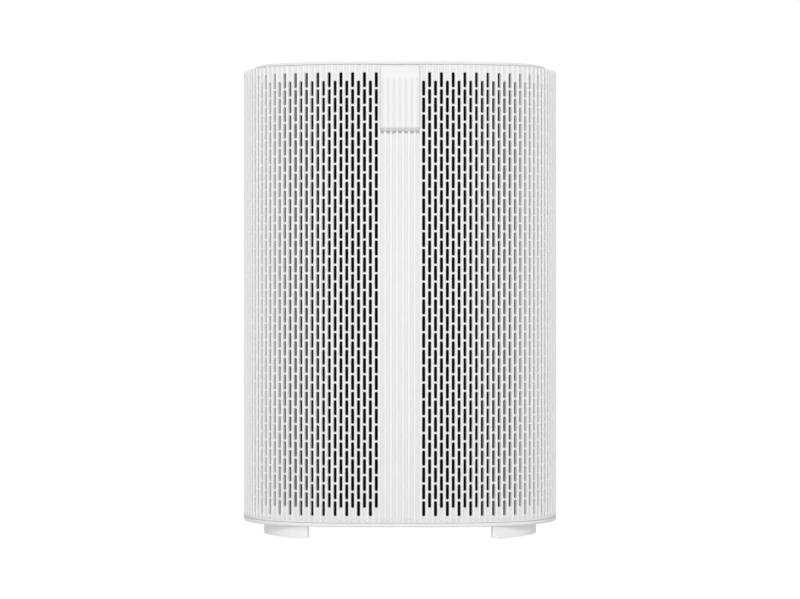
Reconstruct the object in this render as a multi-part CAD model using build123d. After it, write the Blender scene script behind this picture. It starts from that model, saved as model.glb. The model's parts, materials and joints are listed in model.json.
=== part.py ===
from build123d import *
from math import cos, degrees, isclose, pi, radians, sin
import os

# Air purifier: a fluted tower with a slotted front cover, a flat filter behind it,
# a centrifugal fan on a front-to-back axis and an outlet with controls on top.
# Millimetres. +Z is up, the front looks along -Y, the floor is at Z = 0.

# Overall size
WIDTH = 250.0
DEPTH = 250.0
HEIGHT = 371.0

# Plan outline: flat front, gentle blend, tighter corner, straight side
FRONT_FLAT_HALF = 37.0
BLEND_RADIUS = 135.0
BLEND_ANGLE = 22.6

# Levels
FOOT_HEIGHT = 10.0
BASE_RING_HEIGHT = 2.9
TOP_RISE = 3.5
SEAM_GAP = 0.4
FIT_GAP = 0.3
OVERCUT = 5.0

# Fluted shell
WALL = 4.2
FLUTE_PITCH = 4.58
FLUTE_MOUTH = 3.1
FLUTE_FLOOR = 2.5
FLUTE_DEPTH = 0.9
RIM_HEIGHT = 1.6
SPINE_FLUTES = 3
SLOT_LAST_FLUTE = 30
SLOT_WIDTH = 2.3
SLOT_BRIDGE = 1.2
SLOT_TOP_MARGIN = 5.75
SLOT_BOTTOM_MARGIN = 5.15
SLOT_ROWS = 5

# Pull tab at the top of the spine
TAB_WIDTH = 30.5
TAB_LENGTH = 51.0
TAB_PROUD = 3.5
TAB_SEAT = 1.5
TAB_TOP_ROUND = 7.0
TAB_LIP = 4.0
TAB_LIP_UNDERCUT = 3.0
TAB_GAP_BELOW = 1.2
TAB_GROOVE_DEPTH = 0.6
TAB_GROOVE_FLOOR = 1.25
TAB_GROOVE_TOP = 9.0

# Cover fixing magnets
MAGNET_RADIUS = 4.0
MAGNET_THICKNESS = 3.0
MAGNET_BOSS = 14.0
MAGNET_BOSS_WALL = 4.0
MAGNET_END_DISTANCE = 48.0
STRIKE_THICKNESS = 1.0
STRIKE_SIZE = 12.0

# Insect and lint mesh behind the slots
MESH_THICKNESS = 0.8

# Rear housing
FLANGE_THICKNESS = 3.0
FLANGE_CLEARANCE = 4.0
LEDGE_WIDTH = 6.0
LEDGE_THICKNESS = 3.0
BOSS_RADIUS = 5.0
BOSS_HEIGHT = 26.0
BOSS_SIDE_Y = 40.0

# Base and feet
UPSTAND_HEIGHT = 4.6
UPSTAND_THICKNESS = 2.5
BASE_CHAMFER = 0.6
FOOT_FRONT_INSET = 2.0
FOOT_SIDE_INSET = 16.3
FOOT_CORNER_RADIUS = 58.0
FOOT_END_RADIUS = 1.5
FOOT_BAND = 20.0
FOOT_FRONT_END = 71.5
FOOT_SIDE_END = 56.0
FOOT_PEG_RADIUS = 4.0
FOOT_PEG_HEIGHT = 2.2
PAD_THICKNESS = 1.2
PAD_PROUD = 0.5
PAD_MARGIN = 3.0

# Filter cartridge
FILTER_DEPTH = 48.0
FILTER_FRONT_INSET = 25.0
FILTER_SIDE_INSET = 25.0
FILTER_TOP_ROOM = 18.7
FRAME_WALL = 3.0
CARBON_THICKNESS = 6.0
PLEAT_PITCH = 8.0
PLEAT_SHEET = 0.8
PLEAT_FOLD = 8.0
SEAL_THICKNESS = 2.0
SEAL_WIDTH = 8.0
STRAP_WIDTH = 24.0
STRAP_LENGTH = 70.0
STRAP_RISE = 7.0
STRAP_SHEET = 1.2
STRAP_FOOT = 4.8

# Fan wall, inlet and scroll
FAN_WALL_THICKNESS = 3.0
SHELF_HEIGHT = 10.0
SHELF_THICKNESS = 3.0
GUIDE_GAP = 0.7
SCROLL_FLOOR_ROOM = 35.6
SCROLL_SIDE_ROOM = 3.9
INLET_RADIUS = 70.0
BELLMOUTH_RADIUS = 7.0
BELLMOUTH_WALL = 2.5
GUARD_RING = 4.0
GUARD_BAR = 2.0
GUARD_BAR_COUNT = 9
SCROLL_GROWTH = 6.5
SCROLL_WALL = 2.0
SCROLL_WIDTH = 90.0
SCROLL_EXIT_STRAIGHT = 60.0

# Impeller
TONGUE_GAP = 9.0
BLADE_LENGTH = 16.0
IMPELLER_WIDTH = 72.0
IMPELLER_FRONT_GAP = 8.0
BLADE_COUNT = 28
BLADE_THICKNESS = 1.4
BLADE_LEAD_ANGLE = 7.0
BLADE_TRAIL_ANGLE = 3.0
IMPELLER_PLATE = 2.4
IMPELLER_RING = 4.0
HUB_RADIUS = 13.0
HUB_LENGTH = 30.0

# Motor
SHAFT_RADIUS = 4.0
SHAFT_CLEARANCE = 0.05
MOTOR_RADIUS = 40.0
MOTOR_LENGTH = 40.0
MOTOR_WALL = 2.0
MOTOR_FLANGE_RADIUS = 54.0
MOTOR_FLANGE_THICKNESS = 2.5
MOTOR_HOLE_RADIUS = 30.0
MOUNT_THICKNESS = 3.0
MOUNT_RADIUS = 6.0
MOUNT_CIRCLE = 47.0
STATOR_BORE = 23.0
STATOR_LENGTH = 20.0
ROTOR_GAP = 0.8
BEARING_RADIUS = 11.0
BEARING_WIDTH = 7.0
BEARING_SEAT = 2.5
SCREW_RADIUS = 1.6
SCREW_HEAD_RADIUS = 3.0
SCREW_HEAD_HEIGHT = 2.0
SCREW_END_ROOM = 2.0
NUT_HEIGHT = 6.0
NUT_ACROSS = 13.0
SHAFT_TIP = 3.0

# Top: deck, plate, outlet and controls
DECK_THICKNESS = 2.5
DECK_SKIRT = 2.6
PLATE_INSET = 8.0
PLATE_NECK_INSET = 10.5
PLATE_REVEAL = 1.2
PLATE_EDGE_RADIUS = 1.8
OUTLET_SIDE_MARGIN = 33.0
OUTLET_MARGIN = 7.0
OUTLET_CORNER = 14.0
GRILLE_WALL = 2.5
GRILLE_DEPTH = 11.0
GRILLE_RECESS = 1.0
FIN_COUNT = 8
FIN_THICKNESS = 1.6
FIN_SLANT = 3.0
PANEL_WIDTH = 132.0
PANEL_LENGTH = 26.0
PANEL_FRONT_MARGIN = 39.0
PANEL_CORNER = 6.0
PANEL_THICKNESS = 1.2
BUTTON_NAMES = ("power", "speed", "timer", "sleep")
BUTTON_RADIUS = 6.5
BUTTON_SPACING = 28.0
BUTTON_PROUD = 0.5
BUTTON_FLANGE = 1.5
BUTTON_FLANGE_THICKNESS = 1.0
BUTTON_STEM_RADIUS = 2.0
BUTTON_CLEARANCE = 0.25
BUTTON_TRAVEL = 0.8
SWITCH_SIZE = 6.0
SWITCH_HEIGHT = 3.0
BOARD_THICKNESS = 1.6
BOARD_MARGIN = 8.0
BOARD_POST_RADIUS = 3.2
BOARD_POST_HEIGHT = 5.0
LENS_LENGTH = 30.0
LENS_WIDTH = 2.4
LENS_OFFSET = 9.5

# Power side
BOARD_WIDTH = 110.0
BOARD_HEIGHT = 76.0
BOARD_TOP_ROOM = 33.0
BOARD_HOLE_INSET = 6.0
BOARD_STANDOFF = 9.0
STANDOFF_RADIUS = 4.0
COIL_SIZE = 28.0
COIL_DEPTH = 19.6
COIL_CHAMFER = 2.8
SINK_WIDTH = 40.0
SINK_DEPTH = 16.0
SINK_HEIGHT = 24.0
SINK_FIN_COUNT = 5
SINK_FIN = 2.0
SINK_X = 5.0
CAPACITOR_RADIUS = 7.0
CAPACITOR_LENGTH = 22.0
CAPACITOR_SPACING = 17.5
JACK_HEIGHT = 42.0
JACK_RADIUS = 6.0
JACK_FLANGE_RADIUS = 9.0
JACK_FLANGE_THICKNESS = 0.8
JACK_LENGTH = 16.0
JACK_BORE_RADIUS = 2.8
JACK_BORE_DEPTH = 9.5
JACK_PIN_RADIUS = 1.05
JACK_PAD = 26.0
SENSOR_LEVEL = 92.0
SENSOR_WIDTH = 46.0
SENSOR_DEPTH = 18.0
SENSOR_HEIGHT = 34.0
SENSOR_PORT_RADIUS = 6.0
SENSOR_PORT_DEPTH = 8.0
SENSOR_CHAMFER = 2.8
VENT_LENGTH = 24.0
VENT_FIRST_FLUTE = 2
VENT_FLUTES = 6

# Derived plan values
BLEND = radians(BLEND_ANGLE)
CORNER_RADIUS = (WIDTH / 2 - FRONT_FLAT_HALF - BLEND_RADIUS * sin(BLEND)) / (1 - sin(BLEND))
BLEND_CENTRE = (FRONT_FLAT_HALF, -DEPTH / 2 + BLEND_RADIUS)
CORNER_CENTRE = (
    FRONT_FLAT_HALF + (BLEND_RADIUS - CORNER_RADIUS) * sin(BLEND),
    BLEND_CENTRE[1] - (BLEND_RADIUS - CORNER_RADIUS) * cos(BLEND),
)
BLEND_END = FRONT_FLAT_HALF + BLEND_RADIUS * BLEND
CORNER_END = BLEND_END + CORNER_RADIUS * (pi / 2 - BLEND)
QUARTER = CORNER_END - CORNER_CENTRE[1]
FLUTES_PER_SIDE = round(2 * QUARTER / FLUTE_PITCH)
PITCH = 2 * QUARTER / FLUTES_PER_SIDE
COVER_LAST_FLUTE = int(CORNER_END / PITCH - 0.5)
SPLIT = (COVER_LAST_FLUTE + 0.5) * PITCH

# Derived levels
BASE_BOTTOM = FOOT_HEIGHT
BASE_TOP = FOOT_HEIGHT + BASE_RING_HEIGHT
COVER_BOTTOM = BASE_TOP + SEAM_GAP
SHELL_TOP = HEIGHT - TOP_RISE
DECK_TOP = SHELL_TOP - SEAM_GAP
DECK_UNDER = DECK_TOP - DECK_THICKNESS
DECK_BOTTOM = DECK_UNDER - DECK_SKIRT
UPSTAND_TOP = BASE_TOP + UPSTAND_HEIGHT
SHELF_TOP = BASE_TOP + SHELF_HEIGHT
FILTER_BOTTOM = SHELF_TOP + FIT_GAP
FILTER_TOP = DECK_BOTTOM - FILTER_TOP_ROOM
LEDGE_BOTTOM = DECK_BOTTOM - LEDGE_THICKNESS
PLATE_UNDER = SHELL_TOP + PLATE_REVEAL
GRILLE_TOP = HEIGHT - GRILLE_RECESS
GRILLE_LOW = GRILLE_TOP - GRILLE_DEPTH
BOARD_TOP = DECK_UNDER - BOARD_POST_HEIGHT
INNER_INSET = WALL + SEAM_GAP
INNER_HALF = WIDTH / 2 - INNER_INSET
FILTER_HALF = WIDTH / 2 - FILTER_SIDE_INSET

# Derived fan values
SCROLL_START_RADIUS = INNER_HALF - SCROLL_SIDE_ROOM - SCROLL_WALL - 3 * SCROLL_GROWTH
IMPELLER_RADIUS = SCROLL_START_RADIUS - TONGUE_GAP
IMPELLER_INNER_RADIUS = IMPELLER_RADIUS - BLADE_LENGTH
FAN_AXIS_HEIGHT = BASE_TOP + SCROLL_FLOOR_ROOM + SCROLL_WALL + SCROLL_START_RADIUS + SCROLL_GROWTH
FAN_AXIS = Axis((0, 0, FAN_AXIS_HEIGHT), (0, 1, 0))

# Derived places from front to back
FILTER_FRONT = -DEPTH / 2 + FILTER_FRONT_INSET
FILTER_BACK = FILTER_FRONT + FILTER_DEPTH
FAN_WALL_FRONT = FILTER_BACK + SEAL_THICKNESS + FIT_GAP
FAN_WALL_BACK = FAN_WALL_FRONT + FAN_WALL_THICKNESS
SCROLL_BACK = FAN_WALL_BACK + SCROLL_WIDTH
PLATE_BACK = SCROLL_BACK + SCROLL_WALL
IMPELLER_FRONT = FAN_WALL_BACK + IMPELLER_FRONT_GAP
IMPELLER_BACK = IMPELLER_FRONT + IMPELLER_WIDTH
MOTOR_FRONT = PLATE_BACK + MOUNT_THICKNESS
MOTOR_BACK = MOTOR_FRONT + MOTOR_LENGTH
HUB_FRONT = IMPELLER_BACK - HUB_LENGTH
INNER_BACK = DEPTH / 2 - WALL
MAIN_BOARD_BACK = INNER_BACK - BOARD_STANDOFF
MAIN_BOARD_LEVEL = DECK_BOTTOM - BOARD_TOP_ROOM - BOARD_HEIGHT / 2
SENSOR_X = -(VENT_FIRST_FLUTE + (VENT_FLUTES - 1) / 2) * PITCH
OUTLET_Y = (FAN_WALL_BACK + SCROLL_BACK) / 2
OUTLET_HALF = WIDTH / 2 - OUTLET_SIDE_MARGIN
OUTLET_HALF_LENGTH = SCROLL_WIDTH / 2 - OUTLET_MARGIN
PANEL_Y = -DEPTH / 2 + PANEL_FRONT_MARGIN
SPLIT_Y = CORNER_CENTRE[1] - CORNER_RADIUS * sin((CORNER_END - SPLIT) / CORNER_RADIUS)
MAGNET_X = WIDTH / 2 - WALL - MAGNET_BOSS / 2
MAGNET_LEVELS = (COVER_BOTTOM + MAGNET_END_DISTANCE, SHELL_TOP - MAGNET_END_DISTANCE)
FLANGE_FRONT = SPLIT_Y + SEAM_GAP + STRIKE_THICKNESS
FLANGE_EDGE = FILTER_HALF + FLANGE_CLEARANCE

# The origin is under the middle of the whole object, pull tab included
TO_ORIGIN = Pos(0, TAB_PROUD / 2, 0)


def save(name, shape):
    """Write one named piece at its place in the object's frame."""
    export_step(TO_ORIGIN * shape, f"parts/{name}.step")


def outline_frame(s):
    """Point and outward angle on the plan outline, s along it from the front centre."""
    s = (s + 2 * QUARTER) % (4 * QUARTER) - 2 * QUARTER
    along = abs(s)
    if along > QUARTER:
        along = 2 * QUARTER - along
    if along <= FRONT_FLAT_HALF:
        x, y, angle = along, -DEPTH / 2, 0.0
    elif along <= BLEND_END:
        angle = (along - FRONT_FLAT_HALF) / BLEND_RADIUS
        x = BLEND_CENTRE[0] + BLEND_RADIUS * sin(angle)
        y = BLEND_CENTRE[1] - BLEND_RADIUS * cos(angle)
    elif along <= CORNER_END:
        angle = BLEND + (along - BLEND_END) / CORNER_RADIUS
        x = CORNER_CENTRE[0] + CORNER_RADIUS * sin(angle)
        y = CORNER_CENTRE[1] - CORNER_RADIUS * cos(angle)
    else:
        x, y, angle = WIDTH / 2, CORNER_CENTRE[1] + along - CORNER_END, pi / 2
    if abs(s) > QUARTER:
        y, angle = -y, pi - angle
    return (x, y, angle) if s >= 0 else (-x, y, -angle)


def outline_point(s, inset):
    x, y, angle = outline_frame(s)
    return (x - inset * sin(angle), y + inset * cos(angle))


def plan(inset):
    """Face inside the plan outline, moved inwards by inset."""
    blend = CenterArc(BLEND_CENTRE, BLEND_RADIUS - inset, -90, BLEND_ANGLE)
    corner = CenterArc(CORNER_CENTRE, CORNER_RADIUS - inset, BLEND_ANGLE - 90, 90 - BLEND_ANGLE)
    front = Line((0, -DEPTH / 2 + inset), blend @ 0)
    side = Line(corner @ 1, (WIDTH / 2 - inset, 0))
    quarter = [front, blend, corner, side]
    half = quarter + [mirror(edge, about=Plane.XZ) for edge in quarter]
    return make_face(half + [mirror(edge, about=Plane.YZ) for edge in half])


def slab(face, bottom, top):
    return Pos(0, 0, bottom) * extrude(face, amount=top - bottom)


def band(inset, thickness, bottom, top):
    return slab(plan(inset) - plan(inset + thickness), bottom, top)


def block(x0, x1, y0, y1, z0, z1):
    size = Box(x1 - x0, y1 - y0, z1 - z0)
    return Pos((x0 + x1) / 2, (y0 + y1) / 2, (z0 + z1) / 2) * size


def rod(radius, y0, y1, x=0.0, z=FAN_AXIS_HEIGHT):
    """Cylinder along Y."""
    return Pos(x, (y0 + y1) / 2, z) * Rot(90, 0, 0) * Cylinder(radius, abs(y1 - y0))


def post(radius, x, y, bottom, top):
    """Cylinder along Z."""
    return Pos(x, y, (bottom + top) / 2) * Cylinder(radius, top - bottom)


def screw(length):
    """Pan head screw, head above Z = 0, shank below."""
    head = Pos(0, 0, SCREW_HEAD_HEIGHT / 2) * Cylinder(SCREW_HEAD_RADIUS, SCREW_HEAD_HEIGHT)
    return head + Pos(0, 0, -length / 2) * Cylinder(SCREW_RADIUS, length)


def fluted_edge(first, last, depth, gap):
    """Points along the outer face from one flute to another, gap off both ends."""
    points = [outline_point((first - 0.5) * PITCH + gap, 0)]
    for k in range(first, last + 1):
        middle = k * PITCH
        points.append(outline_point(middle - FLUTE_MOUTH / 2, 0))
        points.append(outline_point(middle - FLUTE_FLOOR / 2, depth))
        points.append(outline_point(middle + FLUTE_FLOOR / 2, depth))
        points.append(outline_point(middle + FLUTE_MOUTH / 2, 0))
    points.append(outline_point((last + 0.5) * PITCH - gap, 0))
    return points


def wall_edge(first, last, inset, gap):
    """Points along an inner face, one flat to each flute."""
    ends = [(first - 0.5) * PITCH + gap, (last + 0.5) * PITCH - gap]
    between = [(k + 0.5) * PITCH for k in range(first, last)]
    return [outline_point(s, inset) for s in [ends[0], *between, ends[1]]]


def shell_face(outer, inner):
    return make_face(Polyline(*outer, *reversed(inner), close=True))


def slot_spans(from_top):
    """Bottom and top of each slot in one column: full slots and a half slot at one end."""
    low = COVER_BOTTOM + SLOT_BOTTOM_MARGIN
    high = SHELL_TOP - SLOT_TOP_MARGIN
    period = (high - low + SLOT_BRIDGE) / (SLOT_ROWS + 0.5)
    cuts = [i * period for i in range(SLOT_ROWS + 1)] + [high - low + SLOT_BRIDGE]
    spans = [(a, b - SLOT_BRIDGE) for a, b in zip(cuts, cuts[1:])]
    if from_top:
        return [(high - b, high - a) for a, b in spans]
    return [(low + a, low + b) for a, b in spans]


def flute_slot(k, bottom, top):
    """Cutter for one slot through the floor of a flute, square to the wall."""
    x, y, angle = outline_frame(k * PITCH)
    cutter = Box(SLOT_WIDTH, 2 * (WALL + OVERCUT), top - bottom)
    return Pos(x, y, (bottom + top) / 2) * Rot(0, 0, degrees(angle)) * cutter


def tab_side_profile(back):
    """Side view of the pull tab: rounded top, straight front, chamfered lower lip."""
    face = -DEPTH / 2 - TAB_PROUD
    top = DECK_TOP
    bottom = top - TAB_LENGTH
    crown = (-DEPTH / 2, top)
    round_start = (face, top - TAB_TOP_ROUND)
    lip = (face, bottom + TAB_LIP)
    undercut = (face + TAB_LIP_UNDERCUT, bottom)
    rest = Polyline(round_start, lip, undercut, (back, bottom), (back, top), crown)
    return Plane.YZ * make_face([TangentArc(round_start, crown, tangent=(0, 1)), *rest.edges()])


def make_front_cover():
    """Slotted, fluted front shell with a plain lower rim, tab seat and magnet bosses."""
    first, last = -COVER_LAST_FLUTE, COVER_LAST_FLUTE
    inner = wall_edge(first, last, WALL, SEAM_GAP / 2)
    fluted = shell_face(fluted_edge(first, last, FLUTE_DEPTH, SEAM_GAP / 2), inner)
    plain = shell_face(fluted_edge(first, last, 0, SEAM_GAP / 2), inner)
    rim_top = COVER_BOTTOM + RIM_HEIGHT
    cover = slab(fluted, rim_top, SHELL_TOP) + slab(plain, COVER_BOTTOM, rim_top)
    slots = []
    for side in (-1, 1):
        for count in range(SPINE_FLUTES + 1, SLOT_LAST_FLUTE + 1):
            from_top = (count % 2 == 0) == (side < 0)
            slots += [flute_slot(side * count, *span) for span in slot_spans(from_top)]
    cover -= slots
    half = TAB_WIDTH / 2 + FIT_GAP
    seat_low = DECK_TOP - TAB_LENGTH - TAB_GAP_BELOW
    seat_back = -DEPTH / 2 + TAB_SEAT
    cover -= block(-half, half, -DEPTH / 2 - OVERCUT, seat_back, seat_low, SHELL_TOP + OVERCUT)
    boss_back = SPLIT_Y - SEAM_GAP / 2
    boss_front = boss_back - MAGNET_THICKNESS - MAGNET_BOSS_WALL
    for side in (-1, 1):
        for level in MAGNET_LEVELS:
            wide = MAGNET_BOSS + WALL / 2
            boss = Pos(side * (MAGNET_X + WALL / 4), (boss_front + boss_back) / 2, level)
            cover += boss * Box(wide, boss_back - boss_front, MAGNET_BOSS)
            pocket = rod(MAGNET_RADIUS + SHAFT_CLEARANCE, boss_back - MAGNET_THICKNESS,
                         boss_back + OVERCUT, side * MAGNET_X, level)
            cover -= pocket
    return cover


def make_pull_tab():
    """Raised pull with flutes in line with the spine and a finger lip below."""
    back = -DEPTH / 2 + TAB_SEAT
    tab = extrude(tab_side_profile(back), amount=TAB_WIDTH / 2, both=True)
    face = -DEPTH / 2 - TAB_PROUD
    low = DECK_TOP - TAB_LENGTH
    for k in range(-SPINE_FLUTES, SPINE_FLUTES + 1):
        points = [
            (k * PITCH - FLUTE_MOUTH / 2, face),
            (k * PITCH - TAB_GROOVE_FLOOR / 2, face + TAB_GROOVE_DEPTH),
            (k * PITCH + TAB_GROOVE_FLOOR / 2, face + TAB_GROOVE_DEPTH),
            (k * PITCH + FLUTE_MOUTH / 2, face),
        ]
        groove = make_face(Polyline(*points, close=True))
        tab -= slab(groove, low - TAB_LIP, DECK_TOP - TAB_GROOVE_TOP)
    return tab


def make_lint_mesh():
    """Fine dark mesh that lines the back of the slots."""
    first, last = -SLOT_LAST_FLUTE, SLOT_LAST_FLUTE
    outer = wall_edge(first, last, WALL + FIT_GAP, 0)
    inner = wall_edge(first, last, WALL + FIT_GAP + MESH_THICKNESS, 0)
    return slab(shell_face(outer, inner), UPSTAND_TOP + FIT_GAP, DECK_BOTTOM - FIT_GAP)


def magnet_places():
    return [(side * MAGNET_X, level) for side in (-1, 1) for level in MAGNET_LEVELS]


def make_cover_magnets():
    back = SPLIT_Y - SEAM_GAP / 2
    front = back - MAGNET_THICKNESS
    return Compound([rod(MAGNET_RADIUS, front, back, x, level) for x, level in magnet_places()])


def make_strike_plates():
    half = STRIKE_SIZE / 2
    front = FLANGE_FRONT - STRIKE_THICKNESS
    plates = []
    for x, level in magnet_places():
        plates.append(block(x - half, x + half, front, FLANGE_FRONT, level - half, level + half))
    return Compound(plates)


def boss_places():
    x = WIDTH / 2 - WALL - BOSS_RADIUS + WALL / 4
    return [(sx * x, sy * BOSS_SIDE_Y) for sx in (-1, 1) for sy in (-1, 1)]


def board_holes():
    x = BOARD_WIDTH / 2 - BOARD_HOLE_INSET
    z = BOARD_HEIGHT / 2 - BOARD_HOLE_INSET
    return [(sx * x, MAIN_BOARD_LEVEL + sz * z) for sx in (-1, 1) for sz in (-1, 1)]


def make_rear_housing():
    """Fluted sides and back in one shell, with the filter opening's flanges."""
    first, last = COVER_LAST_FLUTE + 1, 2 * FLUTES_PER_SIDE - COVER_LAST_FLUTE - 1
    fluted = make_face(Polyline(*fluted_edge(first, last, FLUTE_DEPTH, SEAM_GAP / 2), close=True))
    plain = make_face(Polyline(*fluted_edge(first, last, 0, SEAM_GAP / 2), close=True))
    rim_top = BASE_TOP + RIM_HEIGHT
    inside = plan(WALL)
    housing = slab(fluted - inside, rim_top, SHELL_TOP) + slab(plain - inside, BASE_TOP, rim_top)
    low = UPSTAND_TOP + FIT_GAP
    wall_middle = WIDTH / 2 - WALL / 2
    flange_back = FLANGE_FRONT + FLANGE_THICKNESS
    for side in (-1, 1):
        edges = sorted((side * FLANGE_EDGE, side * wall_middle))
        housing += block(*edges, FLANGE_FRONT, flange_back, low, DECK_BOTTOM)
    ledge = slab(plan(WALL / 2) - plan(WALL + LEDGE_WIDTH), LEDGE_BOTTOM, DECK_BOTTOM)
    housing += ledge & block(-WIDTH, WIDTH, FLANGE_FRONT, DEPTH, LEDGE_BOTTOM, DECK_BOTTOM)
    for x, y in boss_places():
        housing += post(BOSS_RADIUS, x, y, low, low + BOSS_HEIGHT)
        housing -= post(SCREW_RADIUS + SHAFT_CLEARANCE, x, y, low - OVERCUT, low + BOSS_HEIGHT - WALL)
    for x, z in board_holes():
        housing += rod(STANDOFF_RADIUS, MAIN_BOARD_BACK, INNER_BACK + WALL / 2, x, z)
        housing -= rod(SCREW_RADIUS + SHAFT_CLEARANCE, MAIN_BOARD_BACK - OVERCUT, INNER_BACK, x, z)
    pad = JACK_PAD / 2
    pad_floor = DEPTH / 2 - FLUTE_DEPTH
    housing -= block(-pad, pad, pad_floor, DEPTH, JACK_HEIGHT - pad, JACK_HEIGHT + pad)
    housing -= rod(JACK_RADIUS + FIT_GAP, INNER_BACK - OVERCUT, DEPTH, 0, JACK_HEIGHT)
    vent_low = SENSOR_LEVEL - VENT_LENGTH / 2
    for count in range(VENT_FIRST_FLUTE, VENT_FIRST_FLUTE + VENT_FLUTES):
        housing -= flute_slot(FLUTES_PER_SIDE + count, vent_low, vent_low + VENT_LENGTH)
    return housing


CORNERS = {
    "front_left": (-1, -1),
    "front_right": (1, -1),
    "rear_left": (-1, 1),
    "rear_right": (1, 1),
}


def peg_place(sx, sy):
    """Middle of a foot's band, where its corner turns."""
    back = FOOT_CORNER_RADIUS - (FOOT_CORNER_RADIUS - FOOT_BAND / 2) * cos(pi / 4)
    x = WIDTH / 2 - FOOT_SIDE_INSET - back
    y = DEPTH / 2 - FOOT_FRONT_INSET - back
    return sx * x, sy * y


def foot_outline(inset):
    """Rounded rectangle that the outer walls of the feet follow, drawn in by an inset."""
    width = WIDTH - 2 * (FOOT_SIDE_INSET + inset)
    depth = DEPTH - 2 * (FOOT_FRONT_INSET + inset)
    return RectangleRounded(width, depth, FOOT_CORNER_RADIUS - inset)


def foot_face(sx, sy, margin):
    """Arc band with rounded ends round one corner, with a margin all round."""
    ring = foot_outline(margin) - foot_outline(FOOT_BAND - margin)
    x0, y0 = FOOT_FRONT_END + margin, FOOT_SIDE_END + margin
    window = Pos(sx * (x0 + WIDTH / 2), sy * (y0 + DEPTH / 2)) * Rectangle(WIDTH, DEPTH)
    foot = ring & window
    ends = [v for v in foot.vertices() if isclose(abs(v.X), x0) or isclose(abs(v.Y), y0)]
    return fillet(ends, FOOT_END_RADIUS)


def make_foot(sx, sy):
    foot = slab(foot_face(sx, sy, 0), PAD_PROUD, FOOT_HEIGHT)
    foot -= slab(foot_face(sx, sy, PAD_MARGIN), PAD_PROUD - PAD_THICKNESS, PAD_THICKNESS)
    x, y = peg_place(sx, sy)
    peg_top = FOOT_HEIGHT + FOOT_PEG_HEIGHT
    return foot + post(FOOT_PEG_RADIUS, x, y, FOOT_HEIGHT - PAD_THICKNESS, peg_top)


def make_pad(sx, sy):
    return slab(foot_face(sx, sy, PAD_MARGIN + SHAFT_CLEARANCE), 0, PAD_THICKNESS)


def make_base_tray():
    """Floor of the tower: the visible ring, an upstand inside the shell, peg and screw holes."""
    floor = slab(plan(0), BASE_BOTTOM, BASE_TOP)
    floor = chamfer(floor.faces().sort_by(Axis.Z)[0].edges(), BASE_CHAMFER)
    tray = floor + band(INNER_INSET, UPSTAND_THICKNESS, BASE_TOP, UPSTAND_TOP)
    for sx, sy in CORNERS.values():
        x, y = peg_place(sx, sy)
        hole_top = BASE_BOTTOM + FOOT_PEG_HEIGHT + FIT_GAP
        tray -= post(FOOT_PEG_RADIUS + SHAFT_CLEARANCE, x, y, 0, hole_top)
    for x, y in boss_places():
        tray -= post(SCREW_RADIUS + FIT_GAP, x, y, 0, UPSTAND_TOP + FIT_GAP)
        tray -= post(SCREW_HEAD_RADIUS + FIT_GAP, x, y, 0, BASE_BOTTOM + SCREW_HEAD_HEIGHT)
    return tray


def make_base_screws():
    seat = BASE_BOTTOM + SCREW_HEAD_HEIGHT
    length = UPSTAND_TOP + FIT_GAP + BOSS_HEIGHT / 2 - seat
    return Compound([Pos(x, y, seat) * Rot(180, 0, 0) * screw(length) for x, y in boss_places()])


def bellmouth_point(radius, turn):
    """Point of the bell mouth's section: turn 180 is the throat, 270 the wall's front."""
    x = INLET_RADIUS + BELLMOUTH_RADIUS + radius * cos(radians(turn))
    y = FAN_WALL_FRONT + BELLMOUTH_RADIUS + radius * sin(radians(turn))
    return (x, y)


def make_fan_wall():
    """Partition with the fan's bell mouth and the filter's shelf and upper guide."""
    low, high = UPSTAND_TOP + FIT_GAP, LEDGE_BOTTOM - FIT_GAP
    wall = block(-INNER_HALF, INNER_HALF, FAN_WALL_FRONT, FAN_WALL_BACK, low, high)
    wall += block(-FILTER_HALF, FILTER_HALF, FAN_WALL_FRONT, FAN_WALL_BACK, BASE_TOP, DECK_UNDER)
    mouth = INLET_RADIUS + BELLMOUTH_RADIUS
    wall -= rod(mouth, FAN_WALL_FRONT - OVERCUT, FAN_WALL_BACK + OVERCUT)
    turns = (180, 225, 270)
    lip = [bellmouth_point(BELLMOUTH_RADIUS, turn) for turn in turns]
    lip += [bellmouth_point(BELLMOUTH_RADIUS - BELLMOUTH_WALL, turn) for turn in reversed(turns)]
    wall += revolve(Pos(0, 0, FAN_AXIS_HEIGHT) * make_face(Polyline(*lip, close=True)), axis=FAN_AXIS)
    shelf_front = FILTER_FRONT + SHELF_THICKNESS
    shelf_low = SHELF_TOP - SHELF_THICKNESS
    wall += block(-FILTER_HALF, FILTER_HALF, shelf_front, FAN_WALL_FRONT, shelf_low, SHELF_TOP)
    web = SHELF_THICKNESS / 2
    for x in (-FILTER_HALF + web, 0, FILTER_HALF - web):
        wall += block(x - web, x + web, shelf_front, FAN_WALL_FRONT, BASE_TOP, shelf_low)
    guide_low = FILTER_TOP + GUIDE_GAP
    guide_high = guide_low + SHELF_THICKNESS
    wall += block(-FILTER_HALF, FILTER_HALF, shelf_front, FAN_WALL_FRONT, guide_low, guide_high)
    return wall


def make_inlet_guard():
    """Finger guard across the fan inlet: one ring with upright bars."""
    back = FAN_WALL_BACK + BELLMOUTH_RADIUS - FAN_WALL_THICKNESS
    front = back - GUARD_BAR
    radius = INLET_RADIUS - FIT_GAP
    ring = rod(radius, front, back) - rod(radius - GUARD_RING, front - OVERCUT, back + OVERCUT)
    step = 2 * radius / (GUARD_BAR_COUNT + 1)
    reach = radius - GUARD_RING / 2
    for count in range(1, GUARD_BAR_COUNT + 1):
        x = -radius + count * step
        half = (reach ** 2 - x ** 2) ** 0.5
        ring += block(x - GUARD_BAR / 2, x + GUARD_BAR / 2, front, back,
                      FAN_AXIS_HEIGHT - half, FAN_AXIS_HEIGHT + half)
    return ring


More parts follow.
